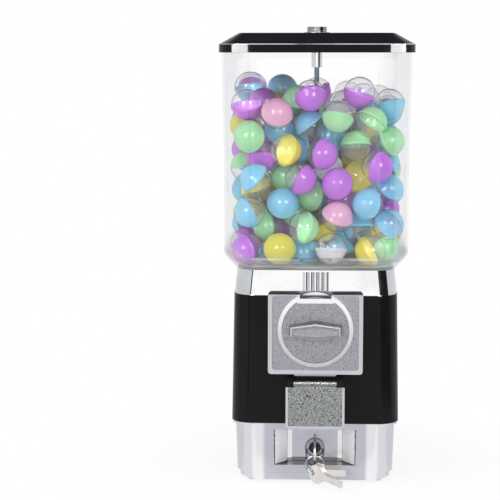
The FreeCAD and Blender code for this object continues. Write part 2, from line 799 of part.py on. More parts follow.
def lid():
    top_w = LID_W - 2 * LID_INSET
    top_r = LID_R - LID_INSET
    band_top = LID_Z + LID_BAND_H
    outer = tower([
        (LID_Z, LID_W, LID_W, LID_R),
        (band_top, LID_W, LID_W, LID_R),
        (LID_TOP, top_w, top_w, top_r),
    ])
    rim_w = CANISTER_W_TOP + 2 * LOOSE
    skirt = tower([(z, rim_w, rim_w, CANISTER_R) for z in (LID_Z, CANISTER_TOP + FIT)])
    seat_w = CANISTER_W_TOP - 2 * LID_SEAT_W
    roof_w = top_w - 2 * LID_WALL
    roof = LID_TOP - LID_WALL
    hollow = tower([
        (CANISTER_TOP + FIT, seat_w, seat_w, CANISTER_R - LID_SEAT_W),
        (roof, roof_w, roof_w, top_r - LID_WALL),
    ])
    return outer.cut([skirt, hollow, pole_z(LID_NECK + FIT, roof, LID_TOP)])


def lid_lock_barrel():
    z1 = LID_TOP + LID_FLANGE_T
    profile = [
        (LID_LOCK_PLUG_R + FIT, LID_TOP - LID_WALL - LID_NUT_T),
        (LID_NECK, LID_TOP - LID_WALL - LID_NUT_T),
        (LID_NECK, LID_TOP),
        (LID_FLANGE_R, LID_TOP),
        (LID_FLANGE_R, z1),
        (LID_LOCK_R, z1),
        (LID_LOCK_R, LID_TOP + LID_LOCK_H),
        (LID_LOCK_PLUG_R + FIT, LID_TOP + LID_LOCK_H),
    ]
    return turned(profile)


def lid_lock_nut():
    z1 = LID_TOP - LID_WALL
    return hex_nut(LID_FLANGE_R, LID_NECK + FIT, z1 - LID_NUT_T, z1)


def lid_lock_plug():
    top = LID_TOP + LID_LOCK_H
    plug = pole_z(LID_LOCK_PLUG_R, LID_Z, top - LOOSE)
    bore = pole_z(SLEEVE_R, LID_Z, LID_TOP - LID_WALL)
    x = KEYWAY_H / 2
    keyway = box(-x, x, -KEYWAY_W / 2, KEYWAY_W / 2, top - KEYWAY_DEPTH, top)
    return plug.cut([bore, keyway])


def rod_top():
    return LID_Z - SLEEVE_DROP + ROD_IN_SLEEVE


def lid_lock_sleeve():
    sleeve = pole_z(SLEEVE_R, LID_Z - SLEEVE_DROP, LID_TOP - LID_WALL)
    return sleeve.cut(pole_z(ROD_R + LOOSE, LID_Z - SLEEVE_DROP, rod_top() + GAP))


def center_rod():
    """The tie rod: a stout spindle up to the wheel's hub, then a thin rod to the lid lock."""
    step = WHEEL_TOP + WHEEL_HUB_H + GAP
    foot = DECK_Z - ROD_NUT_T
    profile = [(0, foot), (SPINDLE_R, foot), (SPINDLE_R, step), (ROD_R, step), (ROD_R, rod_top())]
    return turned(profile + [(0, rod_top())])


def rod_nuts():
    nuts = []
    for top in (DECK_Z, FLOOR_Z - HOUSING_FLOOR_T):
        nuts.append(hex_nut(ROD_NUT_R, SPINDLE_R + FIT, top - ROD_NUT_T, top))
    return Part.makeCompound(nuts)


# Dispensing wheel and its housing

def wheel_housing():
    """A dish for the wheel: a flat floor, a groove for the crown gear's teeth, a funnel rim."""
    web = GROOVE_IN - HOUSING_WALL
    under = FLOOR_Z - HOUSING_FLOOR_T
    flange = HOUSING_OUT + HOUSING_FLANGE_W
    profile = [
        (SPINDLE_R + FIT, under),
        (web, under),
        (web, HOUSING_Z),
        (HOUSING_OUT, HOUSING_Z),
        (HOUSING_OUT, COLLAR_Z),
        (flange, COLLAR_Z),
        (flange, COLLAR_Z + HOUSING_FLANGE_T),
        (HOUSING_OUT, COLLAR_Z + HOUSING_FLANGE_T),
        (HOUSING_OUT, WHEEL_TOP),
        (FUNNEL_R + HOUSING_WALL, FUNNEL_TOP),
        (FUNNEL_R, FUNNEL_TOP),
        (HOUSING_R, WHEEL_TOP),
        (HOUSING_R, FLOOR_Z - GROOVE_DEPTH),
        (GROOVE_IN, FLOOR_Z - GROOVE_DEPTH),
        (GROOVE_IN, FLOOR_Z),
        (SPINDLE_R + FIT, FLOOR_Z),
    ]
    spout = pole_z(DROP_R + HOUSING_WALL, HOUSING_Z, FLOOR_Z, 0, -DROP_AT)
    spout = spout.common(pole_z(GROOVE_IN, HOUSING_Z, FLOOR_Z))
    dish = joined(turned(profile), spout)
    reach = PINION_R + ADDENDUM + 2 * GAP
    y0 = PINION_FRONT - 2 * GAP
    window = box(-reach, reach, y0, PINION_BACK + GAP, HOUSING_Z, FLOOR_Z - GROOVE_DEPTH)
    cuts = [window, pole_z(DROP_R, HOUSING_Z, FLOOR_Z, 0, -DROP_AT)]
    z1 = COLLAR_Z + HOUSING_FLANGE_T
    cuts += [pole_z(SMALL_SCREW_R + FIT, COLLAR_Z, z1, x, y) for x, y in housing_screw_places()]
    return dish.cut(cuts)


def housing_screws():
    z1 = COLLAR_Z + HOUSING_FLANGE_T
    screws = []
    for x, y in housing_screw_places():
        head = pole_z(SMALL_HEAD_R, z1, z1 + SMALL_HEAD_T, x, y)
        shank = pole_z(SMALL_SCREW_R, z1 - SMALL_SCREW_L - HOUSING_FLANGE_T, z1, x, y)
        screws.append(joined(head, shank))
    return Part.makeCompound(screws)


def drop_guard():
    """A plate over the pocket that stands above the drop hole, seated in the funnel."""
    z0 = WHEEL_TOP + GAP
    z1 = z0 + GUARD_T
    seat_r = HOUSING_R + FUNNEL_OUT * GAP / FUNNEL_H
    inner = WHEEL_HUB_R + 2 * GAP
    tongue = box(-GUARD_W / 2, GUARD_W / 2, -seat_r, -inner, z0, z1)
    return tongue.common(pole_z(seat_r - FIT, z0, z1))


def wheel_sector(middle):
    """The share of the wheel's space that one pocket has, with a fine seam on each side."""
    half = math.pi / POCKETS
    tip = V(FIT * math.cos(middle), FIT * math.sin(middle), WHEEL_Z)
    reach = 3 * WHEEL_R
    sides = [tip + V(reach * math.cos(a), reach * math.sin(a), 0) for a in (middle - half, middle + half)]
    return face_of([tip] + sides).extrude(V(0, 0, WHEEL_H + WHEEL_HUB_H))


def dispensing_wheel():
    """Equal moulded segments, one for each pocket, that the crown gear's ring holds together."""
    hub = pole_z(WHEEL_HUB_R, WHEEL_TOP, WHEEL_TOP + WHEEL_HUB_H)
    wheel = joined(pole_z(WHEEL_R, WHEEL_Z, WHEEL_TOP), hub)
    seat = pole_z(CROWN_OUT + FIT, WHEEL_Z, WHEEL_Z + CROWN_BACK_T)
    seat = seat.cut(pole_z(CROWN_IN - FIT, WHEEL_Z, WHEEL_Z + CROWN_BACK_T))
    cuts = [seat, pole_z(SPINDLE_R + BUSH_WALL, WHEEL_Z, WHEEL_TOP + WHEEL_HUB_H)]
    angles = [math.radians(360 * i / POCKETS - 90) for i in range(POCKETS)]
    for a in angles:
        cuts.append(pole_z(BORE_R, WHEEL_Z, WHEEL_TOP, DROP_AT * math.cos(a), DROP_AT * math.sin(a)))
    wheel = wheel.cut(cuts)
    return Part.makeCompound([wheel.common(wheel_sector(a)).Solids[0] for a in angles])


def wheel_bush():
    bush = pole_z(SPINDLE_R + BUSH_WALL, FLOOR_Z, WHEEL_TOP + WHEEL_HUB_H)
    return bush.cut(pole_z(SPINDLE_R + FIT, FLOOR_Z, WHEEL_TOP + WHEEL_HUB_H))


def crown_gear():
    """A ring whose straight teeth point down; a gap stands over the pinion's top tooth."""
    back = pole_z(CROWN_OUT, FLOOR_Z, WHEEL_Z + CROWN_BACK_T)
    back = back.cut(pole_z(CROWN_IN, FLOOR_Z, WHEEL_Z + CROWN_BACK_T))
    tip = PITCH_Z - ADDENDUM
    half = [(TOOTH_ROOT, FLOOR_Z), (TOOTH_TIP, tip)]
    outline = half + [(-x, z) for x, z in half[::-1]]
    tooth = prism_y(outline, -CROWN_OUT, -CROWN_IN).common(pole_z(CROWN_OUT, tip, FLOOR_Z))
    teeth = []
    for i in range(CROWN_TEETH):
        copy = tooth.copy()
        copy.rotate(V(0, 0, 0), V(0, 0, 1), 360 * (i + 0.5) / CROWN_TEETH)
        teeth.append(copy)
    return joined(back, *teeth)


def drive_pinion():
    """Straight spur teeth with plenty of backlash, one tooth upright at rest."""
    points = []
    for i in range(PINION_TEETH):
        a = math.radians(90 - 360 * i / PINION_TEETH)
        for side, r in ((-TOOTH_ROOT, PINION_R - DEDENDUM), (-TOOTH_TIP, PINION_R + ADDENDUM),
                        (TOOTH_TIP, PINION_R + ADDENDUM), (TOOTH_ROOT, PINION_R - DEDENDUM)):
            x = r * math.cos(a) + side * math.sin(a)
            points.append((x, KNOB_Z + r * math.sin(a) - side * math.cos(a)))
    pinion = prism_y(points, PINION_FRONT, PINION_BACK)
    return pinion.cut([
        pole_y(SHAFT_R + FIT, PINION_FRONT, PINION_BACK - SMALL_HEAD_T, 0, KNOB_Z),
        pole_y(SMALL_SCREW_R + FIT, PINION_FRONT, PINION_BACK, 0, KNOB_Z),
        pole_y(SMALL_HEAD_R + FIT, PINION_BACK - SMALL_HEAD_T, PINION_BACK, 0, KNOB_Z),
    ])


def pinion_screw():
    y1 = PINION_BACK - SMALL_HEAD_T
    head = pole_y(SMALL_HEAD_R, y1, PINION_BACK, 0, KNOB_Z)
    return joined(head, pole_y(SMALL_SCREW_R, y1 - 2 * SMALL_SCREW_L, y1, 0, KNOB_Z))


def waiting_places():
    """The pockets that hold a capsule at rest: all but the one above the drop hole."""
    angles = [math.radians(360 * i / POCKETS - 90) for i in range(1, POCKETS)]
    z = FLOOR_Z + LOOSE + CAPSULE_D / 2
    return [V(DROP_AT * math.cos(a), DROP_AT * math.sin(a), z) for a in angles]


def half_shell(side):
    """A hemispherical shell above (side 1) or below (side -1) the origin."""
    r = CAPSULE_D / 2
    ball = Part.makeSphere(r).cut(Part.makeSphere(r - CAPSULE_WALL))
    return ball.common(box(-r, r, -r, r, min(0, side * r), max(0, side * r)))


def capsule_caps():
    cap = half_shell(1)
    return Part.makeCompound([cap.translated(at) for at in waiting_places()])


def capsule_cups():
    """Clear lower halves with a spigot that plugs into the cap."""
    r = CAPSULE_D / 2
    spigot = math.sqrt((r - CAPSULE_WALL) ** 2 - CAPSULE_SPIGOT ** 2) - FIT
    ring = pole_z(spigot, -CAPSULE_SPIGOT, CAPSULE_SPIGOT)
    ring = ring.cut(pole_z(spigot - CAPSULE_WALL, -CAPSULE_SPIGOT, CAPSULE_SPIGOT))
    step = pole_z(r - CAPSULE_WALL / 2, -CAPSULE_WALL, 0)
    step = step.cut(pole_z(spigot - CAPSULE_WALL, -CAPSULE_WALL, 0))
    cup = joined(half_shell(-1), step, ring)
    return Part.makeCompound([cup.translated(at) for at in waiting_places()])


def inside_canister(x, y, z, r):
    """Whether a level circle of radius r about x, y, z clears the canister's walls."""
    rows = canister_hollow(LOOSE + r)
    for (z0, w0, d0, r0), (z1, w1, d1, r1) in zip(rows, rows[1:]):
        if z <= z1:
            break
    rise = max(z - z0, 0) / (z1 - z0)
    corner = max(r0 + (r1 - r0) * rise, 0)
    straight = (w0 + (w1 - w0) * rise) / 2 - corner
    return math.hypot(max(abs(x) - straight, 0), max(abs(y) - straight, 0)) <= corner


def capsule_fits(x, y, z):
    """Whether a capsule there clears the canister, tried at several levels of its height."""
    r = CAPSULE_D / 2
    tilts = [math.pi * i / CAPSULE_LEVELS for i in range(1 - CAPSULE_LEVELS // 2, 2)]
    return all(inside_canister(x, y, z + r * math.sin(a), r * math.cos(a)) for a in tilts)


def resting_height(x, y):
    """Centre of a capsule that lies on the wheel, its hub, the guard or the canister's floor."""
    r = CAPSULE_D / 2
    from_axis = math.hypot(x, y)
    from_guard = math.hypot(max(abs(x) - GUARD_W / 2, 0), max(y + WHEEL_HUB_R, 0))
    ledges = [
        (WHEEL_TOP, 0),
        (WHEEL_TOP + WHEEL_HUB_H, from_axis - WHEEL_HUB_R),
        (WHEEL_TOP + GAP + GUARD_T, from_guard),
        (max(FUNNEL_TOP, CANISTER_Z + CANISTER_WALL), HOUSING_R - from_axis),
    ]
    heights = [top + math.sqrt(r * r - max(d, 0) ** 2) for top, d in ledges if d < r]
    z = max(heights) + LOOSE
    while not capsule_fits(x, y, z) and z < CANISTER_TOP:
        z += HEAP_STEP
    return z


def over_pocket(x, y):
    """Whether x, y is well inside the mouth of an open wheel pocket."""
    return any(math.hypot(x - at.x, y - at.y) < BORE_R - CAPSULE_D / 8 for at in waiting_places())


def capsule_places():
    """Centres of the loose capsules, each dropped into the lowest place that is left."""
    chance = random.Random(HEAP_SEED)
    apart = CAPSULE_D + LOOSE
    steps = int(CANISTER_W / 2 / HEAP_PITCH)
    columns = []
    for i in range(-steps, steps + 1):
        for j in range(-steps, steps + 1):
            x, y = i * HEAP_PITCH, j * HEAP_PITCH
            from_axis = math.hypot(x, y)
            favour = HEAP_UNEVEN * chance.random() - HEAP_SPREAD * from_axis
            beside_rod = from_axis > ROD_R + CAPSULE_D / 2 + LOOSE
            if beside_rod and inside_canister(x, y, CANISTER_Z + CANISTER_STRAIGHT, CAPSULE_D / 2):
                columns.append([x, y, resting_height(x, y), not over_pocket(x, y), favour])
    places = []
    while len(places) < HEAP_COUNT:
        column = min((c for c in columns if c[3]), key=lambda c: c[2] + c[4])
        x, y, z = column[:3]
        if not capsule_fits(x, y, z):
            column[3] = False
            continue
        places.append(V(x, y, z))
        for c in columns:
            d2 = (c[0] - x) ** 2 + (c[1] - y) ** 2
            if d2 < apart ** 2:
                top = z + math.sqrt(apart ** 2 - d2)
                if top >= c[2]:
                    c[2] = top
                    c[3] = True
    return places


def capsule_heap():
    """The loose capsules, each shut and turned from a few flat bands."""
    r = CAPSULE_D / 2
    angles = [math.pi * (i / CAPSULE_BANDS - 0.5) for i in range(1, CAPSULE_BANDS)]
    ring = [(r * math.cos(a), r * math.sin(a)) for a in angles]
    capsule = turned([(0, -r)] + ring + [(0, r)])
    return Part.makeCompound([capsule.translated(at) for at in capsule_places()])


# Coin mechanism

def mech_faceplate():
    z_mid = (FACE_Z + FACE_TOP) / 2
    plate = upright_panel(FACE_W, FACE_H, FACE_R, FACE_FRONT, BODY_FRONT, z_mid)
    recess_w = FACE_W - 2 * FACE_RIM
    recess_h = FACE_H - 2 * FACE_RIM
    floor_y = FACE_FRONT + FACE_RECESS
    plate = plate.cut(upright_panel(recess_w, recess_h, FACE_R, FACE_FRONT, floor_y, z_mid))
    y, z = FACE_FRONT + FACE_BEVEL, FACE_TOP - FACE_BEVEL
    bevel = [(FACE_FRONT, FACE_TOP), (FACE_FRONT, z), (y, FACE_TOP)]
    plate = plate.cut(prism_x(bevel, -FACE_W / 2, FACE_W / 2))
    tab = upright_panel(TAB_W, TAB_H, FACE_R / 2, FACE_FRONT + FACE_RECESS, BODY_FRONT, FACE_Z)
    bezel = pole_y(BEZEL_R, BEZEL_FRONT, BODY_FRONT, 0, KNOB_Z)
    bezel = bezel.cut(pole_y(WELL_R, BEZEL_FRONT, WELL_BACK, 0, KNOB_Z))
    hood_front = BODY_FRONT - HOOD_OUT
    hood_z = FACE_TOP - HOOD_H
    slot_front = DISC_BACK - COIN_T - LOOSE
    profile = [
        (hood_front, hood_z),
        (hood_front, hood_z + HOOD_LIP),
        (slot_front, hood_z + HOOD_LIP),
        (slot_front, FACE_TOP),
        (BODY_FRONT, FACE_TOP),
        (BODY_FRONT, hood_z),
    ]
    studs = [pole_y(STUD_R, BODY_FRONT, BODY_FRONT + STUD_L, x, z) for x, z in stud_places()]
    plate = joined(plate, tab, bezel, prism_x(profile, -HOOD_W / 2, HOOD_W / 2), *studs)
    slot_w = COIN_D / 2 + GAP
    turn = math.radians(COIN_EXIT)
    exit_x = COIN_AT * math.cos(turn)
    exit_z = KNOB_Z + COIN_AT * math.sin(turn)
    cuts = [
        pole_y(WELL_R, DISC_FRONT - LOOSE, WELL_BACK, 0, KNOB_Z),
        box(-slot_w, slot_w, slot_front, WELL_BACK, KNOB_Z, FACE_TOP),
        pole_y(SHAFT_R + FIT, WELL_BACK, BODY_FRONT, 0, KNOB_Z),
        pole_y(slot_w, WELL_BACK, BODY_FRONT, exit_x, exit_z),
    ]
    for x, z in cup_screw_places():
        cuts.append(pole_y(SMALL_SCREW_R + FIT, BODY_FRONT - SMALL_SCREW_L, BODY_FRONT, x, z))
    return plate.cut(cuts)


def mech_nuts():
    nuts = []
    for x, z in stud_places():
        nut = prism_y(hexagon(2 * STUD_R, x, z), BODY_INNER, BODY_INNER + STUD_R)
        nuts.append(nut.cut(pole_y(STUD_R + FIT, BODY_INNER, BODY_INNER + STUD_R, x, z)))
    return Part.makeCompound(nuts)


def cup_screw_places():
    return [(sx * CUP_SCREW_X, KNOB_Z + sz * CUP_SCREW_Z) for sx in (-1, 1) for sz in (-1, 1)]


def pawl_pivot_place():
    a = math.radians(135)
    return PAWL_AT * math.cos(a), KNOB_Z + PAWL_AT * math.sin(a)


def mech_housing():
    """A cup behind the faceplate for the ratchet and pawl, open at the lower right for coins."""
    r = CUP_R + CUP_WALL
    height = OPENING_UP - 2 * GAP + CUP_SCREW_Z + 2 * SMALL_HEAD_R
    z_mid = KNOB_Z + OPENING_UP - 2 * GAP - height / 2
    flange_back = BODY_FRONT + CUP_FLANGE_T
    flange = upright_panel(CUP_FLANGE_W, height, FACE_R, BODY_FRONT, flange_back, z_mid)
    cup = joined(flange, pole_y(r, BODY_FRONT, CUP_BACK, 0, KNOB_Z))
    pivot_x, pivot_z = pawl_pivot_place()
    cuts = [
        pole_y(CUP_R, BODY_FRONT, CUP_BACK - CUP_WALL, 0, KNOB_Z),
        box(GAP, r, flange_back, CUP_BACK - CUP_WALL, KNOB_Z - r, KNOB_Z - CUP_R / 2),
        pole_y(SHAFT_R + BUSH_WALL / 2 + FIT, CUP_BACK - CUP_WALL, CUP_BACK, 0, KNOB_Z),
        pole_y(PAWL_PIN_R + FIT, CUP_BACK - CUP_WALL, CUP_BACK, pivot_x, pivot_z),
    ]
    for x, z in cup_screw_places():
        cuts.append(pole_y(SMALL_SCREW_R + FIT, BODY_FRONT, flange_back, x, z))
    return cup.cut(cuts)


def mech_screws():
    y0 = BODY_FRONT + CUP_FLANGE_T
    screws = []
    for x, z in cup_screw_places():
        head = pole_y(SMALL_HEAD_R, y0, y0 + SMALL_HEAD_T, x, z)
        screws.append(joined(head, pole_y(SMALL_SCREW_R, BODY_FRONT - SMALL_SCREW_L, y0, x, z)))
    return Part.makeCompound(screws)


def shaft_bush():
    r = SHAFT_R + BUSH_WALL / 2
    y1 = PINION_FRONT - LOOSE
    y0 = CUP_BACK - CUP_WALL
    collar_r = r + BUSH_WALL / 2
    bush = joined(pole_y(r, y0, CUP_BACK, 0, KNOB_Z), pole_y(collar_r, CUP_BACK, y1, 0, KNOB_Z))
    return bush.cut(pole_y(SHAFT_R + FIT, y0, y1, 0, KNOB_Z))


def knob_shaft():
    shaft = pole_y(SHAFT_R, DISC_BACK - SHAFT_SEAT, PINION_BACK - SMALL_HEAD_T, 0, KNOB_Z)
    y1 = PINION_BACK - SMALL_HEAD_T
    return shaft.cut(pole_y(SMALL_SCREW_R + FIT, y1 - 2 * SMALL_SCREW_L, y1, 0, KNOB_Z))


def handle_outline(y, scale_l, scale_h):
    x = HANDLE_L / 2 * scale_l
    end = HANDLE_END / 2 * scale_h
    mid = HANDLE_MID / 2 * scale_h
    ring = [V(-x, y, -end), V(0, y, -mid), V(x, y, -end), V(x, y, end), V(0, y, mid), V(-x, y, end)]
    return Part.makePolygon([p + V(0, 0, KNOB_Z) for p in ring + ring[:1]])


def knob():
    """Disc and bevelled handle in one casting, with a coin pocket in the disc's back."""
    disc = pole_y(DISC_R, DISC_FRONT, DISC_BACK, 0, KNOB_Z)
    bevels = [(0.0, 1.0, 1.0), (0.75, 0.94, 0.78), (1.0, 0.82, 0.46)]
    root = DISC_FRONT + GAP
    reach = HANDLE_OUT + GAP
    wires = [handle_outline(root - reach * out, length, height) for out, length, height in bevels]
    body = joined(disc, Part.makeLoft(wires, True, True))
    coin_front = DISC_BACK - COIN_T - LOOSE
    coin_z = KNOB_Z + COIN_AT
    r = COIN_D / 2 + GAP
    pocket = joined(
        pole_y(r, coin_front, DISC_BACK, 0, coin_z),
        box(-r, r, coin_front, DISC_BACK, coin_z, coin_z + COIN_D),
    )
    seat = pole_y(SHAFT_R + FIT / 2, DISC_BACK - SHAFT_SEAT, DISC_BACK, 0, KNOB_Z)
    return body.cut([pocket, seat])


def ratchet_wheel():
    points = []
    for i in range(RATCHET_TEETH):
        a0 = math.radians(360 * i / RATCHET_TEETH)
        points.append((RATCHET_R * math.cos(a0), KNOB_Z + RATCHET_R * math.sin(a0)))
        root = RATCHET_R - RATCHET_TOOTH
        points.append((root * math.cos(a0), KNOB_Z + root * math.sin(a0)))
    wheel = prism_y(points, RATCHET_Y, RATCHET_Y + RATCHET_T)
    return wheel.cut(pole_y(SHAFT_R + FIT / 2, RATCHET_Y, RATCHET_Y + RATCHET_T, 0, KNOB_Z))


def pawl():
    """A finger that drags over the ratchet's teeth and stops the knob from turning back."""
    x, z = pawl_pivot_place()
    y1 = RATCHET_Y + RATCHET_T
    tip_z = KNOB_Z + RATCHET_R + LOOSE
    finger = [(x - LOOSE, z - PAWL_R), (0, tip_z), (0, tip_z + PAWL_PIN_R), (x + LOOSE, z + PAWL_R)]
    body = joined(prism_y(finger, RATCHET_Y, y1), pole_y(PAWL_R, RATCHET_Y, y1, x, z))
    return body.cut(pole_y(PAWL_PIN_R + FIT, RATCHET_Y, y1, x, z))


def pawl_pivot():
    x, z = pawl_pivot_place()
    return pole_y(PAWL_PIN_R, RATCHET_Y, CUP_BACK, x, z)


# Chutes and capsule door

def chute_ceiling(grow):
    """Height of the chute's roof where it meets the front of the shaft."""
    ramp = RAMP_RISE / (CHUTE_REAR - BODY_FRONT)
    return MOUTH_Z + CHUTE_W + grow + ramp * (CHUTE_FRONT - grow - BODY_FRONT)


def chute_profile(grow):
    """Side outline of the capsule's way: down behind the mechanism, then forward on a ramp."""
    y0, y1 = CHUTE_FRONT - grow, CHUTE_REAR + grow
    return [
        (y0, HOUSING_Z),
        (y1, HOUSING_Z),
        (y1, MOUTH_Z - grow + RAMP_RISE),
        (BODY_FRONT, MOUTH_Z - grow),
        (BODY_FRONT, MOUTH_Z + CHUTE_W + grow),
        (y0, chute_ceiling(grow)),
    ]


def capsule_chute():
    x = CHUTE_W / 2
    outer = prism_x(chute_profile(CHUTE_WALL), -x - CHUTE_WALL, x + CHUTE_WALL)
    return outer.cut(prism_x(chute_profile(0), -x, x))


def coin_chute():
    return coin_duct(COIN_CHUTE_WALL).cut(coin_duct(0))


def door_frame():
    """A plate round the chute's mouth with two ears that carry the hinge pin."""
    x = CHUTE_W / 2
    ear_in = DOOR_TONGUE_W / 2 + LOOSE
    z0 = BODY_Z + LIP_INSET
    z1 = HINGE_Z + KNUCKLE_R + LOOSE
    w = 2 * (ear_in + EAR_T)
    y0 = BODY_FRONT - FRAME_T
    plate = upright_panel(w, z1 - z0, DOOR_R, y0, BODY_FRONT, (z0 + z1) / 2)
    plate = plate.cut(box(-x, x, y0, BODY_FRONT, MOUTH_Z, MOUTH_Z + CHUTE_W))
    nose = HINGE_Y - KNUCKLE_R
    profile = [
        (BODY_FRONT, HINGE_Z - EAR_DOWN),
        (nose, HINGE_Z - EAR_DOWN),
        (nose, HINGE_Z + KNUCKLE_R),
        (BODY_FRONT, HINGE_Z + EAR_UP),
    ]
    right = prism_x(profile, ear_in, ear_in + EAR_T)
    left = prism_x(profile, -ear_in - EAR_T, -ear_in)
    pin = pole_x(HINGE_PIN_R + FIT, -ear_in - EAR_T, ear_in + EAR_T, HINGE_Y, HINGE_Z)
    return joined(plate, right, left).cut(pin)


def door_hinge_pin():
    reach = DOOR_TONGUE_W / 2 + LOOSE + EAR_T
    return pole_x(HINGE_PIN_R, -reach, reach, HINGE_Y, HINGE_Z)


def capsule_door():
    """A rimmed flap that hangs from a knuckle, with a tongue over its top edge."""
    z0 = BODY_Z - DOOR_DROP
    z1 = HINGE_Z - GAP
    front = DOOR_BACK - DOOR_T
    z_mid = (z0 + z1) / 2
    door = upright_panel(DOOR_W, z1 - z0, DOOR_R, front, DOOR_BACK, z_mid)
    inner_h = z1 - z0 - 2 * DOOR_RIM
    door = door.cut(upright_panel(DOOR_W - 2 * DOOR_RIM, inner_h, DOOR_R - DOOR_RIM / 2,
                                  front, front + DOOR_RECESS, z_mid))
    ear_in = DOOR_TONGUE_W / 2 + LOOSE
    clear = HINGE_Z - math.hypot(KNUCKLE_R, EAR_DOWN) - GAP
    for side in (-1, 1):
        x = sorted((side * (ear_in - LOOSE), side * DOOR_W / 2))
        door = door.cut(box(x[0], x[1], front, DOOR_BACK, clear, z1))
    x = DOOR_TONGUE_W / 2
    tongue = box(-x, x, HINGE_Y, DOOR_BACK, HINGE_Z - DOOR_TONGUE_H, HINGE_Z)
    door = joined(door, tongue, pole_x(KNUCKLE_R, -x, x, HINGE_Y, HINGE_Z))
    return door.cut(pole_x(HINGE_PIN_R + FIT, -x, x, HINGE_Y, HINGE_Z))


NODES = [
    base_housing, lock_strike, bottom_plate, chassis_screws, rubber_feet, drawer_channel,
    drawer_front, drawer_box, drawer_lock_barrel, drawer_lock_nut, drawer_lock_plug,
    lock_cam, cam_screw, lock_key, key_ring, spare_key, second_key,
    body_shell, collar, canister, lid, lid_lock_barrel, lid_lock_nut, lid_lock_plug, lid_lock_sleeve,
    center_rod, rod_nuts, wheel_housing, housing_screws, drop_guard, dispensing_wheel, wheel_bush,
    crown_gear, drive_pinion, pinion_screw, capsule_caps, capsule_cups, capsule_heap,
    mech_faceplate, mech_nuts, mech_housing, mech_screws, shaft_bush, knob_shaft, knob,
    ratchet_wheel, pawl, pawl_pivot, capsule_chute, coin_chute, door_frame, door_hinge_pin, capsule_door,
]

os.makedirs("parts", exist_ok=True)
shapes = {make.__name__: make() for make in NODES}
span = Part.makeCompound(list(shapes.values())).optimalBoundingBox(False)
to_middle = V(0, -(span.YMin + span.YMax) / 2, 0)
for name, shape in shapes.items():
    shape.translated(to_middle).exportStep("parts/" + name + ".step")
    print(name, len(shape.Solids), "solids,", "valid" if shape.isValid() else "NOT VALID",
          round(shape.Volume), "mm3")
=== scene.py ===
# %% [markdown]
# A capsule vending machine, dressed for its portrait.
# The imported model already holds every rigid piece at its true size: chrome base, black body,
# coin mechanism, clear canister, lid, lock and keys. This lesson loads that model as a fixed
# frame, gives each piece the finish of the real thing, and adds what solid modelling leaves plain:
# the heap of loose two-part capsules. Much of it is placed from the machine's upright axis, so the
# first cell also asks the frame where the centre rod stands.

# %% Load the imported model
import math

import bmesh
import bpy
import numpy as np
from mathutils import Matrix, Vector


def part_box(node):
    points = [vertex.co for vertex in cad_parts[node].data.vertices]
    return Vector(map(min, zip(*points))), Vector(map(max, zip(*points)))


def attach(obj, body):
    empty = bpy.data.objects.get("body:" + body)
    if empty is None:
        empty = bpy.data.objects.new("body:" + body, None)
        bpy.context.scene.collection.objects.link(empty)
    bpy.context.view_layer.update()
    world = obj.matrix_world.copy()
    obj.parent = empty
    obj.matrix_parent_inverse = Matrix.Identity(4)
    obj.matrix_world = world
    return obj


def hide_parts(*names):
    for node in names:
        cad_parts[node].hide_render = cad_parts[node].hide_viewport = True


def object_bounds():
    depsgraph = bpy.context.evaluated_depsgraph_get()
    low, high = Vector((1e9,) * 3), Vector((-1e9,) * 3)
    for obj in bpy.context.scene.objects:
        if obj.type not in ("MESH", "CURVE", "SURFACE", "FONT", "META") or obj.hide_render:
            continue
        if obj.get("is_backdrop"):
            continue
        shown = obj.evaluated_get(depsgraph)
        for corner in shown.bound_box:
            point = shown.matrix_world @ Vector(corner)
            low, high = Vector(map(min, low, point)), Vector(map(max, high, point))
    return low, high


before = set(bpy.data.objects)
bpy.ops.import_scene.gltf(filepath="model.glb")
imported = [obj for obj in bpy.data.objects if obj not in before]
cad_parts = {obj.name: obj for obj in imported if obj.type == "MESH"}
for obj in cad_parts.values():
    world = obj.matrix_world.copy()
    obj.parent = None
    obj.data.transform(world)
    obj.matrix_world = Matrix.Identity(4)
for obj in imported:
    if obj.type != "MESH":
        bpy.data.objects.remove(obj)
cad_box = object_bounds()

rod_low, rod_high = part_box("center_rod")
AXIS = (rod_low + rod_high) / 2
scene = bpy.context.scene


def in_mm(values, digits=1):
    """Metres as rounded millimetres, for the printed notes."""
    return [round(1000 * value, digits) for value in values]


print("size in mm:", in_mm(high - low for low, high in zip(*cad_box)))
print("the centre rod stands at", in_mm(AXIS[:2]), "mm")

# %% [markdown]
# The photograph looks at the machine from straight in front, from a little above its middle.
# Three facts fix a camera: where it stands, how far it is turned, and how long its lens is.
# The machine stands right of the picture's middle, so the camera is turned a little to the left
# instead of being slid sideways: that keeps the front square on, as it is in the photograph.

# %% Camera
CAMERA_BACK = 1.6
CAMERA_UP = 0.43
PAN_LEFT = 2.45
TILT_DOWN = 7.22
LENS = 111.7
SENSOR = 36.0

camera = bpy.data.objects.new("camera", bpy.data.cameras.new("camera"))
scene.collection.objects.link(camera)
camera.location = (AXIS.x, AXIS.y - CAMERA_BACK, CAMERA_UP)
camera.rotation_euler = (math.radians(90 - TILT_DOWN), 0, math.radians(PAN_LEFT))
camera.data.lens = LENS
camera.data.sensor_width = SENSOR
scene.camera = camera
scene.view_settings.view_transform = "Standard"
print("camera at", in_mm(camera.location), "mm, lens", LENS)

# %% [markdown]
# Shader maths reads better as arithmetic than as boxes and wires. Wire stands for one socket:
# adding, multiplying or comparing wires adds the Math nodes. Board is the sheet they are drawn on,
# and its one method node() adds any other node: first its settings, then its sockets. Its other
# methods are short names for the nodes that this scene uses most.

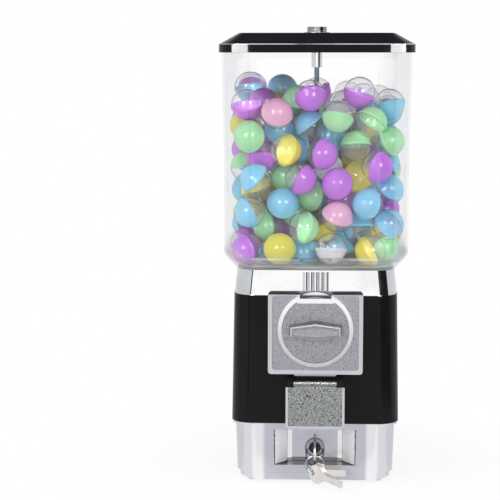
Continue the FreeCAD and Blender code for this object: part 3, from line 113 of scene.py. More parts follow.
# %% Helpers for node trees
class Wire:
    """One output socket. Arithmetic with numbers or other wires adds Math nodes."""

    def __init__(self, board, socket):
        self.board = board
        self.socket = socket

    def __add__(self, other):
        return self.board.math("ADD", self, other)

    __radd__ = __add__

    def __sub__(self, other):
        return self.board.math("SUBTRACT", self, other)

    def __rsub__(self, other):
        return self.board.math("SUBTRACT", other, self)

    def __mul__(self, other):
        return self.board.math("MULTIPLY", self, other)

    __rmul__ = __mul__

    def __gt__(self, other):
        return self.board.math("GREATER_THAN", self, other)

    def __lt__(self, other):
        return self.board.math("LESS_THAN", self, other)


class Board:
    """The node tree of a material or of the world, or a tree of geometry nodes."""

    def __init__(self, owner):
        self.owner = owner
        if isinstance(owner, bpy.types.NodeTree):
            self.tree = owner
        else:
            owner.use_nodes = True
            self.tree = owner.node_tree
        self.tree.nodes.clear()

    def node(self, kind, settings=None, sockets=None):
        made = self.tree.nodes.new(kind)
        for key, value in (settings or {}).items():
            setattr(made, key, value)
        for key, value in (sockets or {}).items():
            if isinstance(value, Wire):
                self.tree.links.new(value.socket, made.inputs[key])
            else:
                made.inputs[key].default_value = value
        return {out.name: Wire(self, out) for out in made.outputs if out.enabled}

    def math(self, kind, one, two=0.0):
        return self.node("ShaderNodeMath", {"operation": kind}, {0: one, 1: two})["Value"]

    def greater(self, one, two):
        return self.math("MAXIMUM", one, two)

    def lesser(self, one, two):
        return self.math("MINIMUM", one, two)

    def vector(self, kind, one, two=(0, 0, 0), out="Vector"):
        return self.node("ShaderNodeVectorMath", {"operation": kind}, {0: one, 1: two})[out]

    def place(self, stretch=(1, 1, 1)):
        spot = self.node("ShaderNodeTexCoord")["Object"]
        return self.node("ShaderNodeMapping", {}, {"Vector": spot, "Scale": stretch})["Vector"]

    def along(self, axis):
        """How far along X, Y or Z of its object a point lies."""
        return self.node("ShaderNodeSeparateXYZ", {}, {0: self.place()})[axis]

    def far_from(self, axis, level):
        return self.math("ABSOLUTE", self.along(axis) - level)

    def steps(self, wire, low, high):
        """0 below low, 1 above high, a soft slope between."""
        sockets = {"Value": wire, "From Min": low, "From Max": high}
        return self.node("ShaderNodeMapRange", {"interpolation_type": "SMOOTHSTEP"}, sockets)["Result"]

    def band(self, wire, low, high, soft):
        """1 from low to high, with a soft slope outside both."""
        return self.steps(wire, low - soft, low) * (1 - self.steps(wire, high, high + soft))

    def line(self, axis, level, half):
        """1 on a thin line round the piece at one level."""
        return 1 - self.steps(self.far_from(axis, level), half, 2 * half)

    def noise(self, scale, detail, stretch=(1, 1, 1), rough=0.5):
        spots = {"Vector": self.place(stretch), "Scale": scale, "Detail": detail, "Roughness": rough}
        return self.node("ShaderNodeTexNoise", {}, spots)["Fac"]

    def cells(self, scale):
        spots = {"Vector": self.place(), "Scale": scale}
        return self.node("ShaderNodeTexVoronoi", {"feature": "SMOOTH_F1"}, spots)["Distance"]

    def mix(self, factor, one, two):
        return self.node("ShaderNodeMix", {"data_type": "RGBA"}, {0: factor, 6: one, 7: two})["Result"]

    def bump(self, height, strength, depth):
        sockets = {"Height": height, "Strength": strength, "Distance": depth}
        return self.node("ShaderNodeBump", {}, sockets)["Normal"]

    def principled(self, **sockets):
        named = {key.replace("_", " "): value for key, value in sockets.items()}
        return self.node("ShaderNodeBsdfPrincipled", {}, named)["BSDF"]

    def blend(self, factor, one, two):
        return self.node("ShaderNodeMixShader", {}, {0: factor, 1: one, 2: two})["Shader"]

    def surface(self, shader):
        kind = "World" if isinstance(self.owner, bpy.types.World) else "Material"
        self.node("ShaderNodeOutput" + kind, {}, {"Surface": shader})


def paint(red, green, blue):
    """A colour read off a screen, 0 to 255, as the linear colour that shaders take."""
    def linear(c):
        c = c / 255
        return c / 12.92 if c <= 0.04045 else ((c + 0.055) / 1.055) ** 2.4
    return linear(red), linear(green), linear(blue), 1.0


finishes = {}


def finish(name):
    finishes[name] = bpy.data.materials.new(name)
    return Board(finishes[name])


def tell_finishes(kind, first_word):
    print(kind + ":", [name for name in finishes if name.startswith(first_word)])


print("a screen grey of 128 is a linear", round(paint(128, 128, 128)[0], 3))

# %% [markdown]
# Chrome plating over moulded plastic is nearly a mirror. What makes it look real is what is not
# perfect: the moulding under it is a little wavy, and hands leave a faint film that dulls it in patches.
# Both are noise patterns in Object coordinates, so they stay with the piece when it moves. Where a
# piece isn't the same all over, a function of its own sets its tones and says where the plating is
# satin: there Metallic is turned down, so that the lamps light it as they light paint.

# %% Chrome plating
FILM_DARKER = 14
FILM_DULLS = 0.07
SATIN = 0.9


def chrome(name, tint, dull, tones=None):
    b = finish(name)
    film = b.steps(b.noise(scale=38, detail=4), low=0.42, high=0.75)
    colour = b.mix(film, paint(*tint), paint(*[c - FILM_DARKER for c in tint]))
    metallic = 1.0
    if tones:
        colour, satin = tones(b, colour)
        metallic = 1 - satin * SATIN
    waves = b.bump(b.noise(scale=55, detail=1), strength=0.05, depth=0.002)
    roughness = dull + film * FILM_DULLS
    b.surface(b.principled(Base_Color=colour, Metallic=metallic, Roughness=roughness, Normal=waves))


chrome("chrome_collar", tint=(252, 252, 253), dull=0.03)
chrome("lock_chrome", tint=(168, 168, 172), dull=0.08)
# The drawer lock's plug is painted dark: a painted reflection of the dark surroundings in its dome.
chrome("lock_dark", tint=(62, 62, 66), dull=0.1)
tell_finishes("plating of the locks", "lock")

# %% [markdown]
# In the photograph the base's flat faces are grey, and beside each rounded corner stands a bright upright
# bar. These are reflections of the studio, which a flat mirror loses at the first turn, so the plating
# holds them as tones: they are found by how far a point lies from the machine's axis. The walls of the
# pocket in front face each other, and two mirrors face to face go black in a render, so the plating in
# there is satin, painted near white as a highlight, with a painted shade along its floor. The drawer's
# front is like the base, with side faces painted bright as highlights.

# %% Chrome of the base and the drawer
EDGE = 0.0003
BAR_FROM, BAR_TO, BAR_SOFT = 0.0535, 0.061, 0.0045
POCKET_HALF = 0.0415
POCKET_FLOOR = 0.0194
POCKET_INSIDE = 0.0035
PANEL_HALF = 0.0232
CORNER_GREY = paint(228, 228, 233)
BAR_WHITE = paint(252, 252, 253)
POCKET_HIGHLIGHT = paint(253, 253, 255)
POCKET_FLOOR_SHADE = paint(34, 34, 37)
PANEL_SIDE_HIGHLIGHT = paint(254, 254, 254)
pocket_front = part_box("base_housing")[0].y + POCKET_INSIDE


def base_tones(b, flat):
    across, deep = b.far_from("X", AXIS.x), b.far_from("Y", AXIS.y)
    bar = b.greater(*[b.band(way, BAR_FROM, BAR_TO, BAR_SOFT) for way in (across, deep)])
    corner = b.steps(across, BAR_TO, BAR_TO + BAR_SOFT) * b.steps(deep, BAR_TO, BAR_TO + BAR_SOFT)
    outside = b.mix(bar, b.mix(corner, flat, CORNER_GREY), BAR_WHITE)
    back = b.along("Y")
    in_pocket = b.steps(back, pocket_front, pocket_front + EDGE) * (back < AXIS.y)
    in_pocket = in_pocket * (1 - b.steps(across, POCKET_HALF, POCKET_HALF + EDGE))
    in_pocket = in_pocket * b.steps(b.along("Z"), POCKET_FLOOR - EDGE, POCKET_FLOOR)
    # Painted highlight: the pocket's walls are near white. Painted shade: a dark line along its floor.
    plated = b.mix(in_pocket, outside, POCKET_HIGHLIGHT)
    floor_shade = in_pocket * b.line("Z", POCKET_FLOOR, EDGE)
    return b.mix(floor_shade, plated, POCKET_FLOOR_SHADE), in_pocket


def drawer_tones(b, flat):
    # Painted highlight: the side faces of the drawer's front are near white.
    side = b.steps(b.far_from("X", AXIS.x), PANEL_HALF - EDGE, PANEL_HALF)
    return b.mix(side, flat, PANEL_SIDE_HIGHLIGHT), 0.0


chrome("chrome_base", tint=(210, 210, 218), dull=0.05, tones=base_tones)
chrome("chrome_drawer", tint=(204, 204, 212), dull=0.05, tones=drawer_tones)
tell_finishes("chrome finishes", "chrome")

# %% [markdown]
# The body and the lid are injection moulded, glossy and black. Such plastic has a faint orange-peel
# skin, fine rub marks along its height and a little dust, and all three change how it shines. A low
# index of refraction keeps the black deep in a white studio; only the lid lock's plug has a clear coat.
# The lid's band ends in an edge with a painted highlight line, broken up by the dust noise, and below
# that edge the band is painted darker than the sloped top, a painted shade.

# %% Black plastics
RUB_STRETCH = (1, 1, 0.12)
RUB_DULLS = 0.08
DUST_PALER = 7
DUST_DULLS = 0.05
BLACK_IOR = 1.25
COAT_DULL = 0.04
SKIN_DEPTH = 0.0002
LID_BAND = 0.008
BAND_SHADE = paint(8, 8, 10)
EDGE_HIGHLIGHT_PALE = paint(196, 196, 198)


def black_plastic(name, colour, dull, peel, coat=0.0, edge=None):
    b = finish(name)
    rubs = b.steps(b.noise(scale=210, detail=3, stretch=RUB_STRETCH), low=0.5, high=0.8)
    dust = b.noise(scale=24, detail=4)
    tone = b.mix(dust, paint(*colour), paint(*[c + DUST_PALER for c in colour]))
    if edge:
        # Painted shade: the band below the edge is darker than the sloped top. Painted highlight: a pale
        # line along the edge.
        tone = b.mix(b.steps(b.along("Z"), edge - EDGE, edge), BAND_SHADE, tone)
        edge_highlight = b.line("Z", edge, EDGE) * b.steps(dust, low=0.3, high=0.5)
        tone = b.mix(edge_highlight, tone, EDGE_HIGHLIGHT_PALE)
    skin = b.bump(b.noise(scale=900, detail=1), strength=peel, depth=SKIN_DEPTH)
    roughness = dull + rubs * RUB_DULLS + dust * DUST_DULLS
    b.surface(b.principled(
        Base_Color=tone, Roughness=roughness, IOR=BLACK_IOR, Normal=skin,
        Coat_Weight=coat, Coat_Roughness=COAT_DULL,
    ))


lid_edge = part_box("lid")[0].z + LID_BAND
black_plastic("black_gloss", (14, 14, 15), dull=0.1, peel=0.03)
black_plastic("lid_gloss", (22, 23, 26), dull=0.08, peel=0.03, edge=lid_edge)
black_plastic("black_trim", (20, 20, 21), dull=0.36, peel=0.12)
black_plastic("lock_black", (22, 22, 24), dull=0.3, peel=0.1, coat=0.1)
black_plastic("rubber", (18, 18, 18), dull=0.75, peel=0.3)
tell_finishes("black finishes", ("black", "lid", "lock_black", "rubber"))

# %% [markdown]
# The coin mechanism is die-cast zinc with a mottled skin: the metal freezes in small patches that
# catch the light differently. Cells of a Voronoi pattern give the patches and a finer noise the grain.
# Where it is polished, the grain is gone and the metal is a bright satin, and on the upper half of the
# ring round the knob a painted highlight makes it whiter still. Each piece brings masks of its own: where
# it is bright, from polish on most pieces and from a painted highlight line on the knob's handle, where
# painted shade darkens it, and where it is satin with its grain left.

# %% Cast zinc
GRAIN_FINER = 2.4
MOTTLE_PATCH, MOTTLE_GRAIN = 0.55, 0.6
RELIEF_PATCH, RELIEF_GRAIN = 0.5, 0.7
MOTTLE_DULLS = 0.16
GRAIN_DULLS = 0.05
POLISH_DULL = 0.17
ZINC_SATIN = 0.6
SHEEN = 0.03
RING_R = 0.0385
POLISH_LOW = paint(204, 204, 209)
RING_HIGHLIGHT_WHITE = paint(252, 252, 252)
SHADE_TONE = paint(78, 78, 82)
knob_middle = sum(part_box("knob"), Vector()) / 2


def from_knob(b):
    """How far a point lies from the knob's axis, seen from in front."""
    flat = b.vector("MULTIPLY", b.vector("SUBTRACT", b.place(), knob_middle), (1, 0, 1))
    return b.vector("LENGTH", flat, out="Value")


def zinc(name, pale, dark, size, dull, depth, polish_and_highlight_mask, painted_shade=None, satin=None):
    b = finish(name)
    patch = b.cells(size)
    grain = b.noise(scale=GRAIN_FINER * size, detail=3, rough=0.7)
    mottle = b.steps(patch * MOTTLE_PATCH + grain * MOTTLE_GRAIN, low=0.42, high=0.78)
    bright = polish_and_highlight_mask(b)
    # Painted highlight: inside the ring's radius, bright parts on the upper half turn whiter.
    high = b.steps(b.along("Z"), knob_middle.z - SHEEN, knob_middle.z + SHEEN)
    ring = 1 - b.steps(from_knob(b), RING_R, RING_R + EDGE)
    polish_and_ring_highlight = b.mix(high * ring, POLISH_LOW, RING_HIGHLIGHT_WHITE)
    colour = b.mix(bright, b.mix(mottle, paint(*pale), paint(*dark)), polish_and_ring_highlight)
    # Painted shade, where the piece's mask asks for it.
    if painted_shade:
        colour = b.mix(painted_shade(b), colour, SHADE_TONE)
    soft = b.greater(bright, satin(b)) if satin else bright
    relief = (grain * RELIEF_GRAIN + patch * RELIEF_PATCH) * (1 - bright)
    cast_dull = (dull + mottle * MOTTLE_DULLS) * (1 - bright)
    b.surface(b.principled(
        Base_Color=colour, Metallic=1 - soft * ZINC_SATIN,
        Roughness=cast_dull + bright * (POLISH_DULL + grain * GRAIN_DULLS),
        Normal=b.bump(relief, strength=0.5, depth=depth),
    ))


print("the knob's middle is", in_mm([knob_middle.z])[0], "mm above the floor")

# %% [markdown]
# The masks pick out faces by where they lie on the piece, so nothing has to be painted by hand.
# The plate's rim and ring stand further forward than its recess; painted shade darkens the coin slot and
# the rim's top face. On the knob's handle a painted highlight line runs where the bevel ends, the face in
# front of it is satin, and painted shade darkens the sides behind it. The door's rim runs along its edges,
# and the door itself is hammered: deeper than the cast skin, and dark between the facets.

# %% Faceplate, knob and door
PLATE_OUT = 0.006
PLATE_RECESS = 0.0015
SLOT_HALF = 0.0158
SLOT_LOW = 0.006
RIM_TOP = 0.0026
RIM_SHADE = 0.75
HOOD_LESS_SHADE = 0.7
HANDLE_BEVEL = 0.0046
HANDLE_LINE = 0.0012
HANDLE_ROOT = 0.017
SIDE_SHADE = 0.8
DOOR_RIM = 0.0025
plate_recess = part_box("body_shell")[0].y - PLATE_OUT + PLATE_RECESS
plate_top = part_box("mech_faceplate")[1].z
knob_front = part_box("knob")[0].y
door_low, door_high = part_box("capsule_door")


def plate_rim(b):
    return 1 - b.steps(b.along("Y"), plate_recess - 3 * EDGE, plate_recess - EDGE)


# Painted shade: the coin slot and the rim's top face are darkened, the hood's top less so.
def plate_painted_shade(b):
    height = b.along("Z")
    upper = b.steps(height, plate_top - RIM_TOP - EDGE, plate_top - RIM_TOP)
    hood = 1 - b.steps(b.far_from("X", AXIS.x), SLOT_HALF - EDGE, SLOT_HALF)
    slot = hood * b.steps(height, plate_top - SLOT_LOW - EDGE, plate_top - SLOT_LOW) * (1 - upper)
    return b.greater(slot, upper * (1 - hood * HOOD_LESS_SHADE) * RIM_SHADE)


def handle_depth(b):
    return b.along("Y") - knob_front


# Painted highlight: a bright line where the handle's bevel ends.
def handle_highlight_line(b):
    return b.band(handle_depth(b) - HANDLE_BEVEL, -HANDLE_LINE, HANDLE_LINE, EDGE)


# Painted shade on the handle's sides behind the bevel.
def handle_painted_shade(b):
    return SIDE_SHADE * b.band(handle_depth(b), HANDLE_BEVEL + HANDLE_LINE + EDGE, HANDLE_ROOT, EDGE)


def handle_face(b):
    return 1 - b.steps(handle_depth(b), HANDLE_BEVEL, HANDLE_BEVEL + EDGE)


def door_rim(b):
    middle = (door_low.x + door_high.x) / 2
    inner_x = door_high.x - middle - DOOR_RIM
    inner_z = door_low.z + DOOR_RIM
    side = b.steps(b.far_from("X", middle), inner_x - EDGE, inner_x + EDGE)
    foot = 1 - b.steps(b.along("Z"), inner_z - EDGE, inner_z + EDGE)
    return b.greater(side, foot)


zinc(
    "zinc_cast", pale=(178, 178, 184), dark=(130, 130, 136), size=900, dull=0.3, depth=0.0003,
    polish_and_highlight_mask=plate_rim, painted_shade=plate_painted_shade,
)
zinc(
    "zinc_knob", pale=(172, 172, 177), dark=(124, 124, 130), size=900, dull=0.3, depth=0.0003,
    polish_and_highlight_mask=handle_highlight_line, painted_shade=handle_painted_shade, satin=handle_face,
)
zinc(
    "zinc_hammered", pale=(176, 178, 178), dark=(34, 36, 36), size=880, dull=0.25, depth=0.0006,
    polish_and_highlight_mask=door_rim,
)
tell_finishes("zinc finishes", "zinc")

# %% [markdown]
# The small metal pieces: turned steel, rolled sheet, nickel-plated keys and a brass gear set.
# Turned and rolled metal carry fine streaks, so their noise is stretched along one direction.

# %% Small metals
PLAIN = (1, 1, 1)
STREAK_DULLS = 0.12
STAIN_DULLS = 0.08
STAIN_DARKER = 0.72
STREAK_DEPTH = 0.0002


def metal(name, colour, dull, streak, wear):
    b = finish(name)
    lines = b.noise(scale=500, detail=2, stretch=streak)
    stain = b.steps(b.noise(scale=70, detail=4), low=0.45, high=0.8)
    stained = paint(*[STAIN_DARKER * c for c in colour])
    b.surface(b.principled(
        Base_Color=b.mix(stain * wear, paint(*colour), stained), Metallic=1.0,
        Roughness=dull + lines * STREAK_DULLS + stain * STAIN_DULLS,
        Normal=b.bump(lines, strength=0.12, depth=STREAK_DEPTH),
    ))
    return name


print("metal finishes:", [
    metal("steel", (176, 186, 192), dull=0.18, streak=(1, 1, 6), wear=0.5),
    metal("sheet_steel", (198, 200, 204), dull=0.3, streak=(0.08, 1, 1), wear=0.6),
    metal("key_nickel", (240, 237, 230), dull=0.3, streak=PLAIN, wear=0.4),
    metal("rod_steel", (92, 104, 112), dull=0.16, streak=(1, 1, 6), wear=0.3),
    metal("brass", (226, 188, 110), dull=0.28, streak=(1, 1, 5), wear=0.7),
])

# %% [markdown]
# Pale moulded plastic for the wheel and its housing. A little subsurface softness would be lost on
# pieces this deep inside, so noise in the colour and in the roughness does the work.

# %% White plastic
WHITE_DULL = 0.36
CLOUD_DULLS = 0.12

b = finish("white_plastic")
cloud = b.noise(scale=45, detail=4)
b.surface(b.principled(
    Base_Color=b.mix(cloud, paint(232, 231, 226), paint(214, 213, 207)),
    Roughness=WHITE_DULL + cloud * CLOUD_DULLS,
    Normal=b.bump(b.noise(scale=800, detail=1), strength=0.08, depth=SKIN_DEPTH),
))
tell_finishes("inside", "white")

# %% [markdown]
# A thin clear wall hardly bends what is seen through it. So the canister is a bright gloss that is mostly
# not there: its alpha is what Fresnel's law gives, with a limit, as the full law would hide the heap behind
# the rounded corners. The thick foot has a higher limit, and its lowest rim is a little milky. The cups of
# the capsules are glass with an index close to that of air, under a clear coat with the true index.
# Faint scuffs change the roughness of both.

# %% Clear plastics
CLEAR_IOR = 1.45
CLEAR_DULL = 0.02
MOST_GLOSS = 0.16
FOOT_GLOSS = 0.5
FOOT_H = 0.024
FROST = 0.2
FROST_DULLS = 0.2
FROST_H = 0.009
FOOT_FADE = 0.007
SCUFF_DULLS = 0.04
CUP_IOR = 1.03
CUP_CLEAR = 0.97
CUP_COAT = 0.6
CUP_COAT_IOR = 1.5
CUP_COAT_DULL = 0.05
SCUFF_COAT = 0.2


def scuffs(b):
    return b.steps(b.noise(scale=130, detail=5, rough=0.65), low=0.56, high=0.8)


def clear_wall(name, tint, foot):
    b = finish(name)
    frost = 1 - b.steps(b.along("Z"), foot + FROST_H - FOOT_FADE, foot + FROST_H)
    thick = 1 - b.steps(b.along("Z"), foot + FOOT_H - FOOT_FADE, foot + FOOT_H)
    fresnel = b.node("ShaderNodeFresnel", {}, {"IOR": CLEAR_IOR})["Fac"]
    gloss = b.lesser(fresnel, MOST_GLOSS + thick * (FOOT_GLOSS - MOST_GLOSS))
    b.surface(b.principled(
        Base_Color=paint(*tint), Metallic=1 - frost, Alpha=b.greater(gloss, frost * FROST),
        Roughness=CLEAR_DULL + scuffs(b) * SCUFF_DULLS + frost * FROST_DULLS,
    ))


def clear_cup(name, tint):
    b = finish(name)
    marks = scuffs(b)
    b.surface(b.principled(
        Base_Color=paint(*tint), Roughness=marks * SCUFF_DULLS, IOR=CUP_IOR, Transmission_Weight=CUP_CLEAR,
        Coat_Weight=CUP_COAT + marks * SCUFF_COAT, Coat_Roughness=CUP_COAT_DULL, Coat_IOR=CUP_COAT_IOR,
    ))


clear_wall("clear_canister", (250, 251, 251), foot=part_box("canister")[0].z)
clear_cup("capsule_clear", (252, 252, 253))
tell_finishes("clear finishes", ("clear", "capsule_clear"))

# %% [markdown]
# The capsule halves are thin coloured polythene: soft, slightly waxy, and a little light passes
# through. Six colours are enough for the whole heap.

# %% Capsule colours
CAPSULE_COLOURS = {
    "blue": (148, 219, 252),
    "green": (180, 243, 188),
    "yellow": (246, 230, 96),
    "purple": (212, 130, 242),
    "pink": (255, 188, 222),
    "white": (240, 238, 245),
}
SWIRL_DARKER = 0.93
SWIRL_DULLS = 0.1
WAX_DULL = 0.14
WAX_WEIGHT = 0.25
WAX_DEPTH = 0.006


def capsule_plastic(name, colour):
    b = finish(name)
    swirl = b.noise(scale=60, detail=3)
    b.surface(b.principled(
        Base_Color=b.mix(swirl, paint(*colour), paint(*[SWIRL_DARKER * c for c in colour])),
        Roughness=WAX_DULL + swirl * SWIRL_DULLS, Subsurface_Weight=WAX_WEIGHT, Subsurface_Scale=WAX_DEPTH,
        Normal=b.bump(b.noise(scale=500, detail=1), strength=0.05, depth=SKIN_DEPTH),
    ))


for word, colour in CAPSULE_COLOURS.items():
    capsule_plastic("capsule_" + word, colour)
tell_finishes("capsule finishes", "capsule")

# %% [markdown]
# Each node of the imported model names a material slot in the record. A node keeps its mesh and only
# gets the finish with that slot's name, apart from a few that have a finish of their own. The one slot
# without a finish here is that of the mixed heap, which new pieces replace further down; until then
# it wears the white plastic.

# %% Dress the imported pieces
OWN_FINISH = {
    "lid": "lid_gloss",
    "lid_lock_sleeve": "chrome_collar",
    "center_rod": "rod_steel",
    "knob": "zinc_knob",
    "drawer_front": "chrome_drawer",
    "drawer_lock_plug": "lock_dark",
    "key_ring": "steel",
}


def slot_of(node):
    return node.data.materials[0].name.split(".")[0]


dressed = {}
for name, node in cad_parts.items():
    look = OWN_FINISH.get(name, slot_of(node))
    dressed.setdefault(look, []).append(name)
    for i in range(len(node.data.materials)):
        node.data.materials[i] = finishes.get(look, finishes["white_plastic"])
for look, wearers in sorted(dressed.items()):
    print(look, "on", ", ".join(wearers))

# %% [markdown]
# The imported heap has every loose capsule in its place, each as a plain ball turned from a few flat bands.
# The two-part capsules of this scene go to the same places, so the script asks the imported mesh for them.
# It joins the corners that the mesh holds twice, then walks from corner to corner along the edges: each
# island that it can't walk out of is one ball, and the middle of its box is the capsule's place.

# %% Find the capsules of the heap
SAME_PLACE = 1e-5


def islands(mesh):
    """The corners of every separate ball in a mesh, as arrays."""
    bm = bmesh.new()
    bm.from_mesh(mesh)
    bmesh.ops.remove_doubles(bm, verts=bm.verts, dist=SAME_PLACE)
    found = []
    seen = set()
    for first in bm.verts:
        if first in seen:
            continue
        seen.add(first)
        walk = [first]
        for corner in walk:
            for edge in corner.link_edges:
                other = edge.other_vert(corner)
                if other not in seen:
                    seen.add(other)
                    walk.append(other)
        found.append(np.array([corner.co for corner in walk]))
    bm.free()
    return found


balls = islands(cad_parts["capsule_heap"].data)
CAPSULE_R = float(np.ptp(balls[0][:, 2])) / 2
heap = np.array([(ball.min(axis=0) + ball.max(axis=0)) / 2 for ball in balls])
heap = heap[np.lexsort(heap.round(5).T)]
print("capsules:", len(heap), "radius in mm:", round(1000 * CAPSULE_R, 2))
print("top of the heap in mm:", round(1000 * (heap[:, 2].max() + CAPSULE_R), 1))

# %% [markdown]
# One capsule is two half shells turned on a lathe: a coloured cap with a rolled rim and a shallow
# groove, and a clear cup whose neck plugs into the cap. lathe() spins a closed outline about the Z axis.

# %% Turn the two capsule halves
SEGMENTS = 26
WALL = 0.0009
RIM_OUT = 0.0006
RIM_H = 0.0022
RIM_TAPER = 0.0001
RIM_ROUND = 0.0005
CUP_IN = 0.0003
CUP_STEP = 0.0004
CUP_RIM_H = 0.0012
NECK_PLAY = 0.0002
NECK_H = 0.0028
NECK_TAPER = 0.978


def lathe(name, outline, segments):
    """A closed ring-shaped or domed shell from (radius, height) points; a radius of 0 makes a pole."""
    mesh = bpy.data.meshes.new(name)
    bm = bmesh.new()
    turns = [2 * math.pi * k / segments for k in range(segments)]
    rings = []
    for r, z in outline:
        spots = [(r * math.cos(t), r * math.sin(t), z) for t in turns] if r else [(0, 0, z)]
        rings.append([bm.verts.new(spot) for spot in spots])
    for one, two in zip(rings, rings[1:] + rings[:1]):
        for k in range(segments):
            here, ahead = k, k + 1
            corners = [one[here % len(one)], one[ahead % len(one)]]
            corners += [two[ahead % len(two)], two[here % len(two)]]
            corners = list(dict.fromkeys(corners))
            if len(corners) > 2:
                bm.faces.new(corners)
    bmesh.ops.recalc_face_normals(bm, faces=bm.faces)
    for face in bm.faces:
        face.smooth = True
    bm.to_mesh(mesh)
    bm.free()
    return mesh


def arc(radius, first, last, count, up=1):
    """Points on a quarter round, angles in degrees from the rim, up or, with -1, down."""
    turns = [math.radians(first + (last - first) * k / (count - 1)) for k in range(count)]
    return [(radius * math.cos(t), up * radius * math.sin(t)) for t in turns]


def cap_outline():
    dome = CAPSULE_R - RIM_OUT
    rim = [(CAPSULE_R, 0.0), (CAPSULE_R - RIM_TAPER, RIM_H), (CAPSULE_R - RIM_ROUND, RIM_H + RIM_ROUND)]
    outer = rim + arc(dome, first=12, last=84, count=7) + [(0.0, dome)]
    inner = [(0.0, dome - WALL)] + arc(dome - WALL, first=76, last=6, count=5)
    return outer + inner + [(CAPSULE_R - WALL, 0.0)]


def cup_outline():
    bowl, neck = CAPSULE_R - CUP_IN, CAPSULE_R - WALL - NECK_PLAY
    tip = neck * NECK_TAPER
    rim = [(tip, NECK_H), (neck, CUP_STEP), (neck, -CUP_STEP / 2), (bowl, -CUP_STEP), (bowl, -CUP_RIM_H)]
    outer = rim + arc(bowl, first=10, last=84, count=7, up=-1) + [(0.0, -bowl)]
    inner = [(0.0, WALL - bowl)] + arc(bowl - WALL, first=76, last=4, count=5, up=-1)
    return outer + inner + [(tip - WALL, NECK_H)]


capsule_cap = bpy.data.objects.new("pattern_cap", lathe("pattern_cap", cap_outline(), SEGMENTS))
capsule_cup = bpy.data.objects.new("pattern_cup", lathe("pattern_cup", cup_outline(), SEGMENTS))
print("faces of a cap and a cup:", len(capsule_cap.data.polygons), len(capsule_cup.data.polygons))

# %% [markdown]
# Geometry Nodes deal the halves to the places of the heap. Each point carries its lean, the way its cap
# looks; the tree turns a half to it, makes it real mesh and gives it its material. The tree is
# built once, with the places, the half and the finish as its named inputs, and run once for each piece.

# %% A tree that deals halves
deal = bpy.data.node_groups.new("deal_halves", "GeometryNodeTree")
SOCKETS = (
    ("Places", "NodeSocketGeometry"), ("Half", "NodeSocketObject"), ("Finish", "NodeSocketMaterial"),
)
for label, kind in SOCKETS:
    deal.interface.new_socket(label, in_out="INPUT", socket_type=kind)
deal.interface.new_socket("Halves", in_out="OUTPUT", socket_type="NodeSocketGeometry")
g = Board(deal)
given = g.node("NodeGroupInput")
lean = g.node("GeometryNodeInputNamedAttribute", {"data_type": "FLOAT_VECTOR"}, {"Name": "lean"})
turned = g.node("FunctionNodeAlignRotationToVector", {"axis": "Z"}, {"Vector": lean["Attribute"]})
shape = g.node("GeometryNodeObjectInfo", {}, {"Object": given["Half"]})
spots = {"Points": given["Places"], "Instance": shape["Geometry"], "Rotation": turned["Rotation"]}
dealt = g.node("GeometryNodeInstanceOnPoints", {}, spots)["Instances"]
dealt = g.node("GeometryNodeRealizeInstances", {}, {"Geometry": dealt})["Geometry"]
dealt = g.node("GeometryNodeSetMaterial", {}, {"Geometry": dealt, "Material": given["Finish"]})["Geometry"]
g.node("NodeGroupOutput", {}, {"Halves": dealt})


def run_tree(name, tree, places, leans, values):
    """Points with a lean attribute go through the tree; what comes back is a plain mesh object."""
    mesh = bpy.data.meshes.new(name)
    mesh.from_pydata([tuple(p) for p in places], [], [])
    mesh.attributes.new("lean", "FLOAT_VECTOR", "POINT").data.foreach_set("vector", np.ravel(leans))
    piece = bpy.data.objects.new(name, mesh)
    scene.collection.objects.link(piece)
    modifier = piece.modifiers.new("deal", "NODES")
    modifier.node_group = tree
    for item in tree.interface.items_tree:
        if item.in_out == "INPUT" and item.name in values:
            modifier[item.identifier] = values[item.name]
    made = bpy.data.meshes.new_from_object(piece.evaluated_get(bpy.context.evaluated_depsgraph_get()))
    piece.modifiers.clear()
    piece.data = made
    return piece


print("nodes in the tree:", len(deal.nodes))

# %% [markdown]
# A random deal with a fixed seed gives each capsule its colour and its lean, a little outwards and up.
# The photograph shows one mound, left of the middle, with a blue capsule at its crest and green ones
# below it, so the capsules there are picked out and turn their caps up. The others of the top layer
# turn their clear cups up, so that the coloured part of the heap ends where it does in the photograph.

# %% Colours and leans
HEAP_SEED = 11
COLOUR_SHARES = {"blue": 0.26, "green": 0.2, "yellow": 0.17, "purple": 0.23, "pink": 0.08, "white": 0.06}
LEAN_CHANCE = 0.8
LEAN_OUT = 0.4
LEAN_ALL = (0, -0.2, 0.2)
TOP_FROM, SHOULDER_FROM, CREST_FROM = 0.368, 0.382, 0.39
MOUND_FROM, MOUND_TO = -0.06, -0.012
CUPS_UP, CUPS_LOOSE = (0, 0.3, -1.0), 0.4
CAPS_UP, CAPS_LOOSE = (0.1, -0.6, 0.8), 0.2

chance = np.random.default_rng(HEAP_SEED)
names = list(COLOUR_SHARES)
picked = chance.choice(len(names), size=len(heap), p=list(COLOUR_SHARES.values()))
outward = (heap - np.array(AXIS)) * np.array([1, 1, 0])
outward /= np.linalg.norm(outward, axis=1)[:, None]
leans = chance.normal(size=heap.shape) * LEAN_CHANCE + outward * LEAN_OUT + np.array(LEAN_ALL)
sideways, level = heap[:, 0] - AXIS.x, heap[:, 2]
mound = (sideways > MOUND_FROM) & (sideways < MOUND_TO) & (level > TOP_FROM)
on_top = (level > TOP_FROM) & ~mound
leans[on_top] = leans[on_top] * CUPS_LOOSE + np.array(CUPS_UP)
leans[mound] = leans[mound] * CAPS_LOOSE + np.array(CAPS_UP)
picked[mound & (level > SHOULDER_FROM)] = names.index("green")
picked[mound & (level > CREST_FROM)] = names.index("blue")
print("in the mound:", int(mound.sum()), "others on top:", int(on_top.sum()))

